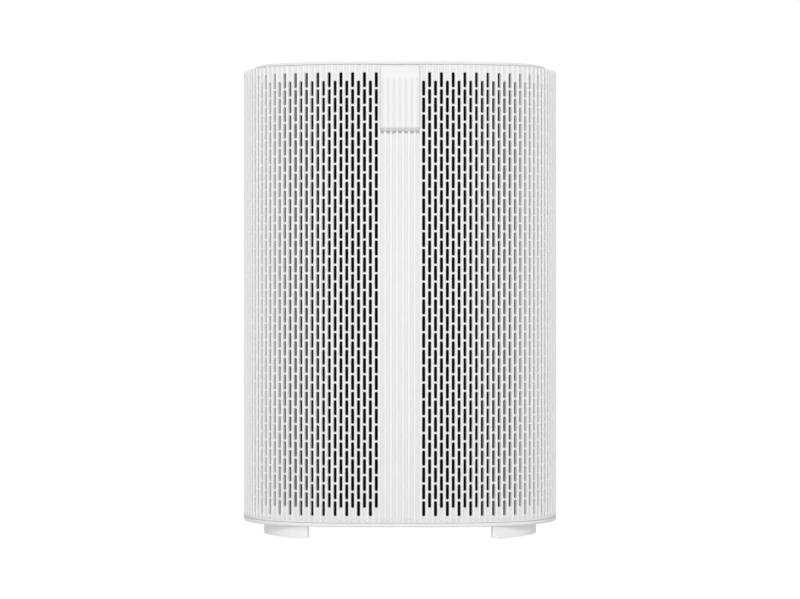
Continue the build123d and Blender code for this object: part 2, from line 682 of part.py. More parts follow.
def scroll_face(wall):
    """Front view of the scroll: three growing arcs, then a duct up to the outlet."""
    r, e, z = SCROLL_START_RADIUS, SCROLL_GROWTH, FAN_AXIS_HEIGHT
    over = CenterArc((0, z), r, 90, 90)
    under = CenterArc((e, z), r + e, 180, 90)
    out = CenterArc((e, z + e), r + 2 * e, 270, 90)
    tongue = over @ 0
    bend = (r + 3 * e, z + e + SCROLL_EXIT_STRAIGHT)
    throat = GRILLE_LOW - FIT_GAP
    duct = Polyline(out @ 1, bend, (OUTLET_HALF, throat), (OUTLET_HALF, DECK_UNDER),
                    (-OUTLET_HALF, DECK_UNDER), (-OUTLET_HALF, throat), tongue)
    face = make_face([over, under, out, *duct.edges()])
    return offset(face, amount=wall, kind=Kind.INTERSECTION) if wall else face


def make_scroll_housing():
    """Scroll wall and back plate in one moulding, closed in front by the fan wall."""
    back_view = Plane((0, 0, 0), x_dir=(1, 0, 0), z_dir=(0, -1, 0))
    outer = back_view * scroll_face(SCROLL_WALL)
    inner = back_view * scroll_face(0)
    body = Pos(0, PLATE_BACK, 0) * extrude(outer, amount=PLATE_BACK - FAN_WALL_BACK)
    body -= Pos(0, SCROLL_BACK, 0) * extrude(inner, amount=PLATE_BACK - FAN_WALL_BACK + OVERCUT)
    body -= block(-WIDTH, WIDTH, -DEPTH, DEPTH, DECK_UNDER, HEIGHT)
    body -= rod(MOTOR_HOLE_RADIUS, SCROLL_BACK - OVERCUT, PLATE_BACK + OVERCUT)
    for x, z in mount_places():
        body -= rod(SCREW_RADIUS + SHAFT_CLEARANCE, SCROLL_BACK - OVERCUT, PLATE_BACK + OVERCUT, x, z)
    return body


def mount_places():
    reach = MOUNT_CIRCLE * cos(pi / 4)
    return [(sx * reach, FAN_AXIS_HEIGHT + sz * reach) for sx in (-1, 1) for sz in (-1, 1)]


def make_impeller():
    """Squirrel cage wheel: back plate and hub, bent blades and a front ring."""
    plate = rod(IMPELLER_RADIUS, IMPELLER_BACK - IMPELLER_PLATE, IMPELLER_BACK)
    wheel = plate + rod(HUB_RADIUS, HUB_FRONT, IMPELLER_BACK)
    ring_back = IMPELLER_FRONT + IMPELLER_PLATE
    ring = rod(IMPELLER_RADIUS, IMPELLER_FRONT, ring_back)
    wheel += ring - rod(IMPELLER_RADIUS - IMPELLER_RING, IMPELLER_FRONT - OVERCUT, ring_back + OVERCUT)
    inner, outer = IMPELLER_INNER_RADIUS, IMPELLER_RADIUS - BLADE_THICKNESS
    middle = (inner + outer) / 2
    lead, trail = radians(BLADE_LEAD_ANGLE), radians(BLADE_TRAIL_ANGLE)
    line = Polyline((inner, 0), (middle * cos(trail), middle * sin(trail)),
                    (outer * cos(lead), outer * sin(lead)))
    section = trace(line, BLADE_THICKNESS)
    blade_back = (0, IMPELLER_BACK - IMPELLER_PLATE / 2, FAN_AXIS_HEIGHT)
    back_view = Plane(blade_back, x_dir=(1, 0, 0), z_dir=(0, -1, 0))
    blade = extrude(back_view * section, amount=IMPELLER_WIDTH - IMPELLER_PLATE)
    step = 360 / BLADE_COUNT
    wheel += [blade.rotate(FAN_AXIS, count * step) for count in range(BLADE_COUNT)]
    return wheel - rod(SHAFT_RADIUS + SHAFT_CLEARANCE / 2, HUB_FRONT - OVERCUT, IMPELLER_BACK + OVERCUT)


def make_fan_shaft():
    return rod(SHAFT_RADIUS, HUB_FRONT - NUT_HEIGHT - SHAFT_TIP, MOTOR_BACK - MOTOR_WALL - FIT_GAP)


def make_impeller_nut():
    hexagon = RegularPolygon(NUT_ACROSS / 2, 6, major_radius=False)
    plane = Plane((0, HUB_FRONT, FAN_AXIS_HEIGHT), x_dir=(1, 0, 0), z_dir=(0, -1, 0))
    nut = extrude(plane * hexagon, amount=NUT_HEIGHT)
    bore_front = HUB_FRONT - NUT_HEIGHT - OVERCUT
    return nut - rod(SHAFT_RADIUS + SHAFT_CLEARANCE / 2, bore_front, HUB_FRONT + OVERCUT)


def stator_span():
    middle = (MOTOR_FRONT + MOTOR_BACK) / 2
    return middle - STATOR_LENGTH / 2, middle + STATOR_LENGTH / 2


def make_motor_rotor():
    front, back = stator_span()
    core = rod(STATOR_BORE - ROTOR_GAP, front, back)
    return core - rod(SHAFT_RADIUS + SHAFT_CLEARANCE / 2, front - OVERCUT, back + OVERCUT)


def make_motor_stator():
    front, back = stator_span()
    ring = rod(MOTOR_RADIUS - MOTOR_WALL - SHAFT_CLEARANCE, front, back)
    return ring - rod(STATOR_BORE, front - OVERCUT, back + OVERCUT)


def make_motor_case():
    """Cup with a bolting flange and the rear bearing's seat."""
    cup = rod(MOTOR_FLANGE_RADIUS, MOTOR_FRONT, MOTOR_FRONT + MOTOR_FLANGE_THICKNESS)
    cup += rod(MOTOR_RADIUS, MOTOR_FRONT, MOTOR_BACK)
    inner_end = MOTOR_BACK - MOTOR_WALL
    cup -= rod(MOTOR_RADIUS - MOTOR_WALL, MOTOR_FRONT - OVERCUT, inner_end)
    cup += rod(BEARING_RADIUS + BEARING_SEAT, inner_end - BEARING_WIDTH, inner_end)
    cup -= rod(BEARING_RADIUS + SHAFT_CLEARANCE, inner_end - 2 * BEARING_WIDTH, inner_end)
    for x, z in mount_places():
        cup -= rod(SCREW_RADIUS + SHAFT_CLEARANCE, MOTOR_FRONT - OVERCUT, MOTOR_BACK, x, z)
    return cup


def make_motor_cap():
    """Front end shield with the front bearing's seat."""
    front = MOTOR_FRONT
    disc = rod(MOTOR_RADIUS - MOTOR_WALL - SHAFT_CLEARANCE, front, front + MOTOR_FLANGE_THICKNESS)
    disc += rod(BEARING_RADIUS + BEARING_SEAT, front, front + BEARING_WIDTH)
    disc -= rod(BEARING_RADIUS + SHAFT_CLEARANCE, front + MOTOR_WALL / 2, front + 2 * BEARING_WIDTH)
    return disc - rod(SHAFT_RADIUS + BEARING_SEAT, front - OVERCUT, front + OVERCUT)


def make_bearing(front):
    ring = rod(BEARING_RADIUS, front, front + BEARING_WIDTH)
    return ring - rod(SHAFT_RADIUS + SHAFT_CLEARANCE, front - OVERCUT, front + BEARING_WIDTH + OVERCUT)


def make_motor_mounts():
    """Rubber washers between the motor's flange and the scroll."""
    washers = []
    for x, z in mount_places():
        washer = rod(MOUNT_RADIUS, PLATE_BACK, MOTOR_FRONT, x, z)
        hole = rod(SCREW_RADIUS + SHAFT_CLEARANCE, PLATE_BACK - OVERCUT, MOTOR_FRONT + OVERCUT, x, z)
        washers.append(washer - hole)
    return Compound(washers)


def make_motor_screws():
    seat = MOTOR_FRONT + MOTOR_FLANGE_THICKNESS
    length = seat - SCROLL_BACK
    return Compound([Pos(x, seat, z) * Rot(-90, 0, 0) * screw(length) for x, z in mount_places()])


def make_filter_frame():
    """Open box that holds the filter layers."""
    outer = block(-FILTER_HALF, FILTER_HALF, FILTER_FRONT, FILTER_BACK, FILTER_BOTTOM, FILTER_TOP)
    half = FILTER_HALF - FRAME_WALL
    low, high = FILTER_BOTTOM + FRAME_WALL, FILTER_TOP - FRAME_WALL
    return outer - block(-half, half, FILTER_FRONT - OVERCUT, FILTER_BACK + OVERCUT, low, high)


def make_carbon_layer():
    half = FILTER_HALF - FRAME_WALL
    low, high = FILTER_BOTTOM + FRAME_WALL, FILTER_TOP - FRAME_WALL
    return block(-half, half, FILTER_FRONT, FILTER_FRONT + CARBON_THICKNESS, low, high)


def make_pleat_pack():
    """Folded filter paper: an even zigzag between the carbon layer and the back."""
    half = FILTER_HALF - FRAME_WALL
    front, back = FILTER_FRONT + CARBON_THICKNESS, FILTER_BACK - PLEAT_SHEET
    folds = 4 * round(half / PLEAT_PITCH)
    step = 2 * half / folds
    places = [-half + i * step for i in range(folds + 1)]
    face = [(x, back - PLEAT_FOLD if i % 2 else front) for i, x in enumerate(places)]
    rear = [(x, y + PLEAT_FOLD) for x, y in face]
    sheet = make_face(Polyline(*face, *reversed(rear), close=True))
    return slab(sheet, FILTER_BOTTOM + FRAME_WALL, FILTER_TOP - FRAME_WALL)


def make_filter_seal():
    """Foam gasket between the cartridge and the fan wall."""
    back = FILTER_BACK + SEAL_THICKNESS
    ring = block(-FILTER_HALF, FILTER_HALF, FILTER_BACK, back, FILTER_BOTTOM, FILTER_TOP)
    half = FILTER_HALF - SEAL_WIDTH
    low, high = FILTER_BOTTOM + SEAL_WIDTH, FILTER_TOP - SEAL_WIDTH
    return ring - block(-half, half, FILTER_BACK - OVERCUT, back + OVERCUT, low, high)


def make_filter_strap():
    """Ribbon loop on the front of the cartridge for pulling it out."""
    span = STRAP_LENGTH / 2
    low = FILTER_FRONT - STRAP_SHEET
    near, far = span - STRAP_FOOT, span + STRAP_FOOT
    outer = ThreePointArc((-span, low), (0, low - STRAP_RISE), (span, low))
    inner = ThreePointArc((-near, low), (0, low - STRAP_RISE + STRAP_SHEET), (near, low))
    edges = [outer, inner]
    for side in (-1, 1):
        foot = Polyline((side * span, low), (side * far, low), (side * far, FILTER_FRONT),
                        (side * near, FILTER_FRONT), (side * near, low))
        edges += foot.edges()
    high = FILTER_TOP - FRAME_WALL - SEAL_WIDTH
    return slab(make_face(edges), high - STRAP_WIDTH, high)


def outlet_face(gap):
    half, length = OUTLET_HALF - gap, OUTLET_HALF_LENGTH - gap
    return Pos(0, OUTLET_Y) * RectangleRounded(2 * half, 2 * length, OUTLET_CORNER - gap)


def panel_face(gap):
    corner = PANEL_CORNER - gap
    return Pos(0, PANEL_Y) * RectangleRounded(PANEL_WIDTH - 2 * gap, PANEL_LENGTH - 2 * gap, corner)


def button_places():
    first = -BUTTON_SPACING * (len(BUTTON_NAMES) - 1) / 2
    return [(first + i * BUTTON_SPACING, PANEL_Y) for i in range(len(BUTTON_NAMES))]


def board_post_places():
    x = PANEL_WIDTH / 2 + BOARD_MARGIN / 2
    return [(-x, PANEL_Y), (x, PANEL_Y)]


def make_top_deck():
    """Inner lid that ties the shell together and carries the top plate and the key board."""
    deck = slab(plan(INNER_INSET), DECK_UNDER, DECK_TOP)
    deck += band(INNER_INSET, UPSTAND_THICKNESS, DECK_BOTTOM, DECK_UNDER)
    deck -= slab(outlet_face(0), DECK_BOTTOM, HEIGHT)
    deck -= slab(panel_face(FIT_GAP), DECK_BOTTOM, HEIGHT)
    for x, y in board_post_places():
        deck += post(BOARD_POST_RADIUS, x, y, BOARD_TOP, DECK_UNDER)
        deck -= post(SCREW_RADIUS + SHAFT_CLEARANCE, x, y, BOARD_TOP - OVERCUT, DECK_UNDER)
    return deck


def lens_face(gap):
    place = Pos(0, PANEL_Y + LENS_OFFSET)
    return place * SlotOverall(LENS_LENGTH + 2 * gap, LENS_WIDTH + 2 * gap)


def make_top_plate():
    """Visible lid on a recessed neck, with the outlet opening and the panel's recess."""
    lid = slab(plan(PLATE_INSET), PLATE_UNDER, HEIGHT)
    lid = fillet(lid.faces().sort_by(Axis.Z)[-1].edges(), PLATE_EDGE_RADIUS)
    lid += slab(plan(PLATE_NECK_INSET), DECK_TOP, PLATE_UNDER)
    lid -= slab(outlet_face(0), DECK_BOTTOM, HEIGHT + OVERCUT)
    lid -= slab(panel_face(0), HEIGHT - PANEL_THICKNESS, HEIGHT + OVERCUT)
    for x, y in button_places():
        lid -= post(BUTTON_RADIUS + BUTTON_CLEARANCE, x, y, DECK_BOTTOM, HEIGHT + OVERCUT)
    return lid


def make_control_panel():
    panel = slab(panel_face(SHAFT_CLEARANCE), HEIGHT - PANEL_THICKNESS, HEIGHT)
    for x, y in button_places():
        panel -= post(BUTTON_RADIUS + BUTTON_CLEARANCE, x, y, DECK_BOTTOM, HEIGHT + OVERCUT)
    return panel - slab(lens_face(SHAFT_CLEARANCE), DECK_BOTTOM, HEIGHT + OVERCUT)


def make_indicator_lens():
    return slab(lens_face(0), HEIGHT - PANEL_THICKNESS, HEIGHT)


def make_button(x, y):
    """Push button: cap, flange that stops it under the lid, and a stem for its switch."""
    flange_top = DECK_TOP - SHAFT_CLEARANCE
    flange_low = flange_top - BUTTON_FLANGE_THICKNESS
    stem_low = BOARD_TOP + SWITCH_HEIGHT + BUTTON_TRAVEL + FIT_GAP
    button = post(BUTTON_RADIUS, x, y, flange_low, HEIGHT + BUTTON_PROUD)
    button = chamfer(button.faces().sort_by(Axis.Z)[-1].edges(), BUTTON_PROUD)
    button += post(BUTTON_RADIUS + BUTTON_FLANGE, x, y, flange_low, flange_top)
    return button + post(BUTTON_STEM_RADIUS, x, y, stem_low, flange_top)


def make_control_board():
    half = PANEL_WIDTH / 2 + BOARD_MARGIN
    front, back = PANEL_Y - PANEL_LENGTH / 2, PANEL_Y + PANEL_LENGTH / 2
    board = block(-half, half, front, back, BOARD_TOP - BOARD_THICKNESS, BOARD_TOP)
    for x, y in board_post_places():
        board -= post(SCREW_RADIUS + FIT_GAP, x, y, BOARD_TOP - OVERCUT, BOARD_TOP + OVERCUT)
    return board


def make_control_board_screws():
    seat = BOARD_TOP - BOARD_THICKNESS
    length = BOARD_THICKNESS + BOARD_POST_HEIGHT - SCREW_END_ROOM
    pin = Rot(180, 0, 0) * screw(length)
    return Compound([Pos(x, y, seat) * pin for x, y in board_post_places()])


def make_key_switches():
    half = SWITCH_SIZE / 2
    top = BOARD_TOP + SWITCH_HEIGHT
    switches = []
    for x, y in button_places():
        switches.append(block(x - half, x + half, y - half, y + half, BOARD_TOP, top))
    return Compound(switches)


def make_outlet_grille():
    """Frame with slanted fins and two cross ribs."""
    top, low = GRILLE_TOP, GRILLE_LOW
    inner = outlet_face(FIT_GAP + GRILLE_WALL)
    grille = slab(outlet_face(FIT_GAP) - inner, low, top)
    clear_length = 2 * (OUTLET_HALF_LENGTH - FIT_GAP - GRILLE_WALL)
    step = clear_length / (FIN_COUNT + 1)
    half = OUTLET_HALF - FIT_GAP - GRILLE_WALL / 2
    start = OUTLET_Y - clear_length / 2
    fins = []
    for count in range(1, FIN_COUNT + 1):
        y = start + count * step
        points = [
            (y - FIN_THICKNESS / 2 + FIN_SLANT / 2, low),
            (y + FIN_THICKNESS / 2 + FIN_SLANT / 2, low),
            (y + FIN_THICKNESS / 2 - FIN_SLANT / 2, top),
            (y - FIN_THICKNESS / 2 - FIN_SLANT / 2, top),
        ]
        fins.append(extrude(Plane.YZ * make_face(Polyline(*points, close=True)), amount=half, both=True))
    rib_half = FIN_THICKNESS / 2
    for x in (-OUTLET_HALF / 3, OUTLET_HALF / 3):
        fins.append(block(x - rib_half, x + rib_half, start - GRILLE_WALL / 2,
                          start + clear_length + GRILLE_WALL / 2, low, top - FIN_THICKNESS))
    grille += fins
    return grille & slab(outlet_face(FIT_GAP), low, top)


def make_main_board():
    half, high = BOARD_WIDTH / 2, BOARD_HEIGHT / 2
    board = block(-half, half, MAIN_BOARD_BACK - BOARD_THICKNESS, MAIN_BOARD_BACK,
                  MAIN_BOARD_LEVEL - high, MAIN_BOARD_LEVEL + high)
    for x, z in board_holes():
        board -= rod(SCREW_RADIUS + FIT_GAP, MAIN_BOARD_BACK - OVERCUT, MAIN_BOARD_BACK + OVERCUT, x, z)
    return board


def make_main_board_screws():
    seat = MAIN_BOARD_BACK - BOARD_THICKNESS
    length = BOARD_THICKNESS + BOARD_STANDOFF - SCREW_END_ROOM
    return Compound([Pos(x, seat, z) * Rot(90, 0, 0) * screw(length) for x, z in board_holes()])


def make_transformer():
    front = MAIN_BOARD_BACK - BOARD_THICKNESS
    half = COIL_SIZE / 2
    x, z = -BOARD_WIDTH / 4, MAIN_BOARD_LEVEL
    core = block(x - half, x + half, front - COIL_DEPTH, front, z - half, z + half)
    return chamfer(core.edges().filter_by(Axis.Y), COIL_CHAMFER)


def make_heat_sink():
    front = MAIN_BOARD_BACK - BOARD_THICKNESS
    low = MAIN_BOARD_LEVEL + BOARD_HEIGHT / 2 - BOARD_HOLE_INSET - SINK_HEIGHT
    high = low + SINK_HEIGHT
    sink = block(SINK_X, SINK_X + SINK_WIDTH, front - SINK_FIN, front, low, high)
    step = (SINK_WIDTH - SINK_FIN) / (SINK_FIN_COUNT - 1)
    for count in range(SINK_FIN_COUNT):
        x = SINK_X + count * step
        sink += block(x, x + SINK_FIN, front - SINK_DEPTH, front, low, high)
    return sink


def make_capacitors():
    front = MAIN_BOARD_BACK - BOARD_THICKNESS
    z = MAIN_BOARD_LEVEL - BOARD_HEIGHT / 4
    first = SINK_X + CAPACITOR_RADIUS
    places = [first, first + CAPACITOR_SPACING]
    return Compound([rod(CAPACITOR_RADIUS, front - CAPACITOR_LENGTH, front, x, z) for x in places])


def jack_face():
    return DEPTH / 2 - FLUTE_DEPTH + JACK_FLANGE_THICKNESS


def make_power_jack():
    """Low voltage inlet: barrel through the back wall, outer flange and blind bore."""
    face = jack_face()
    seat = face - JACK_FLANGE_THICKNESS
    jack = rod(JACK_RADIUS, seat - JACK_LENGTH, seat, 0, JACK_HEIGHT)
    jack += rod(JACK_FLANGE_RADIUS, seat, face, 0, JACK_HEIGHT)
    return jack - rod(JACK_BORE_RADIUS, face - JACK_BORE_DEPTH, face + OVERCUT, 0, JACK_HEIGHT)


def make_jack_pin():
    """Centre contact that stands on the floor of the inlet's bore."""
    face = jack_face()
    return rod(JACK_PIN_RADIUS, face - JACK_BORE_DEPTH, face - JACK_FLANGE_THICKNESS, 0, JACK_HEIGHT)


def make_dust_sensor():
    """Particle sensor behind the small vents in the back wall."""
    back = INNER_BACK - FIT_GAP
    half, high = SENSOR_WIDTH / 2, SENSOR_HEIGHT / 2
    case = block(SENSOR_X - half, SENSOR_X + half, back - SENSOR_DEPTH, back,
                 SENSOR_LEVEL - high, SENSOR_LEVEL + high)
    case = chamfer(case.edges().filter_by(Axis.Y), SENSOR_CHAMFER)
    return case - rod(SENSOR_PORT_RADIUS, back - SENSOR_PORT_DEPTH, back + OVERCUT, SENSOR_X, SENSOR_LEVEL)


os.makedirs("parts", exist_ok=True)

save("front_cover", make_front_cover())
save("pull_tab", make_pull_tab())
save("lint_mesh", make_lint_mesh())
save("cover_magnets", make_cover_magnets())

save("rear_housing", make_rear_housing())
save("strike_plates", make_strike_plates())
save("base_tray", make_base_tray())
save("base_screws", make_base_screws())
for corner, (sx, sy) in CORNERS.items():
    save(f"foot_{corner}", make_foot(sx, sy))
    save(f"foot_pad_{corner}", make_pad(sx, sy))

save("filter_frame", make_filter_frame())
save("carbon_layer", make_carbon_layer())
save("pleat_pack", make_pleat_pack())
save("filter_seal", make_filter_seal())
save("filter_strap", make_filter_strap())

save("fan_wall", make_fan_wall())
save("inlet_guard", make_inlet_guard())
save("scroll_housing", make_scroll_housing())
save("impeller", make_impeller())
save("fan_shaft", make_fan_shaft())
save("impeller_nut", make_impeller_nut())

save("motor_case", make_motor_case())
save("motor_cap", make_motor_cap())
save("motor_stator", make_motor_stator())
save("motor_rotor", make_motor_rotor())
save("front_bearing", make_bearing(MOTOR_FRONT + MOTOR_WALL / 2))
save("rear_bearing", make_bearing(MOTOR_BACK - MOTOR_WALL - BEARING_WIDTH))
save("motor_mounts", make_motor_mounts())
save("motor_screws", make_motor_screws())

save("top_deck", make_top_deck())
save("top_plate", make_top_plate())
save("outlet_grille", make_outlet_grille())
save("control_panel", make_control_panel())
save("indicator_lens", make_indicator_lens())
for button_name, (x, y) in zip(BUTTON_NAMES, button_places()):
    save(f"{button_name}_button", make_button(x, y))
save("control_board", make_control_board())
save("control_board_screws", make_control_board_screws())
save("key_switches", make_key_switches())

save("main_board", make_main_board())
save("main_board_screws", make_main_board_screws())
save("transformer", make_transformer())
save("heat_sink", make_heat_sink())
save("capacitors", make_capacitors())
save("power_jack", make_power_jack())
save("jack_pin", make_jack_pin())
save("dust_sensor", make_dust_sensor())
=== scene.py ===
import json
from itertools import pairwise
from math import asin, cos, dist, exp, pi, radians, sin, sqrt

import bmesh
import bpy
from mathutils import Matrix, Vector


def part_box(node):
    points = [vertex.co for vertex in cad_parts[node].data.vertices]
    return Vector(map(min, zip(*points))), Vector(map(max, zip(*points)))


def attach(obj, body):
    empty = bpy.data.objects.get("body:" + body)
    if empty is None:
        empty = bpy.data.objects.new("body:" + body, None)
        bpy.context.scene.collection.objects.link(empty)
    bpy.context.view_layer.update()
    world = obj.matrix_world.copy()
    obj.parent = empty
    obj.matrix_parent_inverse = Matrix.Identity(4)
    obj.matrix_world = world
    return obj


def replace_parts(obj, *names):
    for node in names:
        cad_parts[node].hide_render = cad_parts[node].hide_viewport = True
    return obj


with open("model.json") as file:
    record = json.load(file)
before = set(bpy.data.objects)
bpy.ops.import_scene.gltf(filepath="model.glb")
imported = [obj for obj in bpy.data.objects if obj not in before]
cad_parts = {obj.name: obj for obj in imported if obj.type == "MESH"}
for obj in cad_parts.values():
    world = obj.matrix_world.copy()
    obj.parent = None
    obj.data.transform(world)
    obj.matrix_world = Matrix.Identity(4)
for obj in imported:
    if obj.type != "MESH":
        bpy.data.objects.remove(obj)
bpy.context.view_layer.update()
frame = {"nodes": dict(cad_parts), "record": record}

MM = 0.001

# Plan outline of the tower: flat front, gentle blend, tighter corner, straight side
PLAN_LOW, PLAN_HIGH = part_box("base_tray")
WIDTH = PLAN_HIGH.x - PLAN_LOW.x
DEPTH = PLAN_HIGH.y - PLAN_LOW.y
CENTRE_Y = (PLAN_LOW.y + PLAN_HIGH.y) / 2
FRONT_FLAT_HALF = 37.0 * MM
BLEND_RADIUS = 135.0 * MM
BLEND_ANGLE = radians(22.6)
CORNER_RADIUS = (WIDTH / 2 - FRONT_FLAT_HALF - BLEND_RADIUS * sin(BLEND_ANGLE)) / (1 - sin(BLEND_ANGLE))
BLEND_CENTRE = (FRONT_FLAT_HALF, BLEND_RADIUS - DEPTH / 2)
CORNER_CENTRE = (
    FRONT_FLAT_HALF + (BLEND_RADIUS - CORNER_RADIUS) * sin(BLEND_ANGLE),
    BLEND_CENTRE[1] - (BLEND_RADIUS - CORNER_RADIUS) * cos(BLEND_ANGLE),
)
BLEND_END = FRONT_FLAT_HALF + BLEND_RADIUS * BLEND_ANGLE
CORNER_END = BLEND_END + CORNER_RADIUS * (pi / 2 - BLEND_ANGLE)
QUARTER = CORNER_END - CORNER_CENTRE[1]

# Fluted wall
WALL = 4.2 * MM
NOMINAL_PITCH = 4.58 * MM
FLUTES_PER_SIDE = round(2 * QUARTER / NOMINAL_PITCH)
PITCH = 2 * QUARTER / FLUTES_PER_SIDE
FLUTE_DEPTH = 0.9 * MM
RIB_EDGE = 1.75 * MM
FLOOR_EDGE = 1.2 * MM
FLANK_STEPS = 4
FLUTE_END_STEPS = 5
EDGE_ROUND = 0.35 * MM
RIM_HEIGHT = 1.1 * MM
SEAM_GAP = 0.4 * MM
SPINE_FLUTES = 3
COVER_LAST_FLUTE = int(CORNER_END / PITCH - 0.5)
SLOT_LAST_FLUTE = 30
SLOT_ROWS = 26
SLOT_WIDTH = 2.3 * MM
SLOT_CORNER = 0.95 * MM
SLOT_BRIDGE = 1.2 * MM
SLOT_TOP_MARGIN = 5.75 * MM
SLOT_BOTTOM_MARGIN = 5.15 * MM
ARC_STEPS = 3
PORT_STEPS = 24
TINY = 1e-6
KEY_SCALE = 1e7

# Levels, from the frame; the cover comes down a little further than its solid
COVER_LOW, COVER_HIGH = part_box("front_cover")
COVER_DROP = 0.2 * MM
COVER_BOTTOM = COVER_LOW.z - COVER_DROP
SHELL_TOP = COVER_HIGH.z
BASE_LOW, BASE_HIGH = PLAN_LOW.z, PLAN_HIGH.z
TAB_LOW, TAB_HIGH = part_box("pull_tab")

# Pull tab, its seat in the cover and the pockets under its lip
TAB_HALF = TAB_HIGH.x
TAB_FACE = TAB_LOW.y
TAB_BACK = TAB_HIGH.y
TAB_SEAT = TAB_BACK - PLAN_LOW.y
TAB_SIDE_GAP = 0.3 * MM
TAB_GAP_BELOW = 1.8 * MM
TAB_POCKET = 2.1 * MM
POCKET_FROM = 0.9 * FLUTE_DEPTH
SEAT_STEP = 0.1 * MM
SEAT_SIDE_STEP = 0.05 * MM
TAB_TOP_ROUND = 7.0 * MM
TAB_LIP = 4.0 * MM
TAB_LIP_UNDERCUT = 3.4 * MM
TAB_LIP_CURVE = 1.3
TAB_CORNER = 2.0 * MM
TAB_EDGE = 0.7 * MM
TAB_GROOVE_DEPTH = 0.6 * MM
TAB_GROOVE_START = 7.0 * MM
TAB_GROOVE_FULL = 14.0 * MM
TAB_STEPS = 64
TAB_ROW_STEPS = 6
TAB_TOP_STEPS = 8
TAB_CORNER_STEPS = 5
TAB_EDGE_STEPS = 4

# Painted light level of the fluted plastic, from 1 on the crests to 0 where the painted shade is darkest
CHANNEL_PAINTED_LIGHT = 0.5
SLOT_END_PAINTED_LIGHT = 0.25
POCKET_PAINTED_LIGHT = 0.0
RIM_PAINTED_SHADE = 0.4
TAB_PAINTED_LIGHT = 0.8
GROOVE_PAINTED_SHADE = 0.4
LIP_PAINTED_SHADE = 0.88

# Back wall
JACK_PAD = 26.0 * MM
JACK_PAD_STEP = 0.1 * MM
JACK_HOLE_RADIUS = 6.3 * MM
VENT_LENGTH = 24.0 * MM
VENT_MARGIN = 2.0 * MM
VENT_FIRST_FLUTE = 2
VENT_FLUTES = 6

# Inner forms of the shell
EMBED = 0.5 * MM
BLOCK_EDGE = 0.5 * MM
FLANGE_THICKNESS = 3.0 * MM
FLANGE_EDGE = 104.0 * MM
LEDGE_WIDTH = 6.0 * MM
LEDGE_THICKNESS = 3.0 * MM
FIT_GAP = 0.3 * MM
BOSS_PLACE = (116.85 * MM, 40.0 * MM)
BOSS_RADIUS = 5.0 * MM
BOSS_HEIGHT = 26.0 * MM
STANDOFF_PLACE = (49.0 * MM, 32.0 * MM)
STANDOFF_RADIUS = 4.0 * MM
STANDOFF_LENGTH = 9.0 * MM
SCREW_HOLE_RADIUS = 1.6 * MM
MAGNET_RADIUS = 4.0 * MM
MAGNET_BOSS = 14.0 * MM
MAGNET_BOSS_WALL = 4.0 * MM
MAGNET_CLEARANCE = 0.1 * MM
POCKET_STEPS = 32
TURN_STEPS = 24

# Soft pieces of the filter
SCREEN_SHEET = 0.36 * MM
SCREEN_HEM = 5.0 * MM
SCREEN_ROWS = 12
CARBON_GRID = 3.0 * MM
CARBON_BORDER = 6.0 * MM
CARBON_PRESSED = 2.0 * MM
CARBON_SPOT_PITCH = 26.0 * MM
CARBON_SPOT_RADIUS = 4.0 * MM
CARBON_SPOT_DEPTH = 1.1 * MM
PLEAT_PITCH = 8.0 * MM
PLEAT_SHEET = 0.8 * MM
PLEAT_SHARPNESS = 0.985
PLEAT_STEPS = 20
SEAL_WIDTH = 8.0 * MM
SEAL_EDGE_SHARE = 0.55
SEAL_STEPS = 10
RIBBON_SHEET = 0.9 * MM
RIBBON_FOOT = 6.5 * MM
RIBBON_FOOT_STEPS = 4
RIBBON_LOOP_STEPS = 36
RIBBON_ROWS = 8
RIBBON_EDGE = 0.6 * MM
RIBBON_EDGE_SHARES = [0.5, 0.9]
STITCH_LENGTH = 2.2 * MM
STITCH_PITCH = 3.2 * MM
STITCH_WIDTH = 0.5 * MM
STITCH_LINES = (0.25, 0.75)
STITCH_PROUD = 0.3
STITCH_ROUND = 0.4

# Signs on the buttons: arcs and turns in degrees, reach in shares of the radius
SIGN_RADIUS = 2.3 * MM
SIGN_STROKE = 0.5 * MM
SIGN_HEIGHT = 0.04 * MM
SIGN_STEPS = 32
SIGN_SWELL = 1.9
POWER_ARC = (125, 415)
TIMER_ARC = (100, 440)
SLEEP_ARC = (60, 320)
SLEEP_THIN = 0.3
BLADE_TURNS = (90, 210, 330)
BLADE_SWEEP = 60
BLADE_REACH = (0.2, 1.1)
BLADE_THIN = 0.4
BLADE_STEPS = 16

# Plastics and cloths
GLOSS_LIMIT = 0.3
MATT_SPECULAR = 0.2
CLOTH_SPECULAR = 0.05
GRAIN_SCALE = 1400.0
GRAIN_STRENGTH = 0.06
GRAIN_HEIGHT = 0.02 * MM
GRAIN_DETAIL = 3.0
FLUTED_GRAIN = 0.05
ROUGH_SPREAD = 0.05
DARK_UNDER = 0.3
LIGHT_OVER = 0.7
PAINTED_SHADE_ROUGHER = 0.1
PAINTED_LIGHT_BLUR = 0.04
HEIGHT_BLUR = 0.01
WEAVE_STRENGTH = 0.5
WEAVE_HEIGHT = 0.1 * MM

# Ground and light; each lamp has a name, a place, a size and a power
WHITE = (1, 1, 1, 1)
AMBIENT = 0.22
FLOOR_SIZE = 30.0
FLOOR_SHADE = (0.9, 0.9, 0.9, 1)
FLOOR_ROUGHNESS = 0.9
FLOOR_LIGHT = 0.24
FLOOR_GLOW = 0.96
FLOOR_WHITE = 1.02
LAMP_TARGET = (0, 0, 0.19)
LAMPS = (
    ("key", (-0.05, -1.9, 0.9), 0.8, 18.2),
    ("top", (0.0, 0.0, 2.0), 0.8, 9.0),
    ("rear_left", (-0.9, 1.8, 0.8), 0.9, 9.0),
    ("rear_right", (0.9, 1.8, 0.8), 0.9, 9.0),
)

# Camera that took the picture, worked out from the way the ribs crowd at the edges
IMAGE_WIDTH = 800
FOCAL_PIXELS = 2180
HORIZON_ABOVE_CENTRE = 4.5
SENSOR_WIDTH = 36.0
CAMERA_DISTANCE = 1.684
CAMERA_HEIGHT = 0.1894


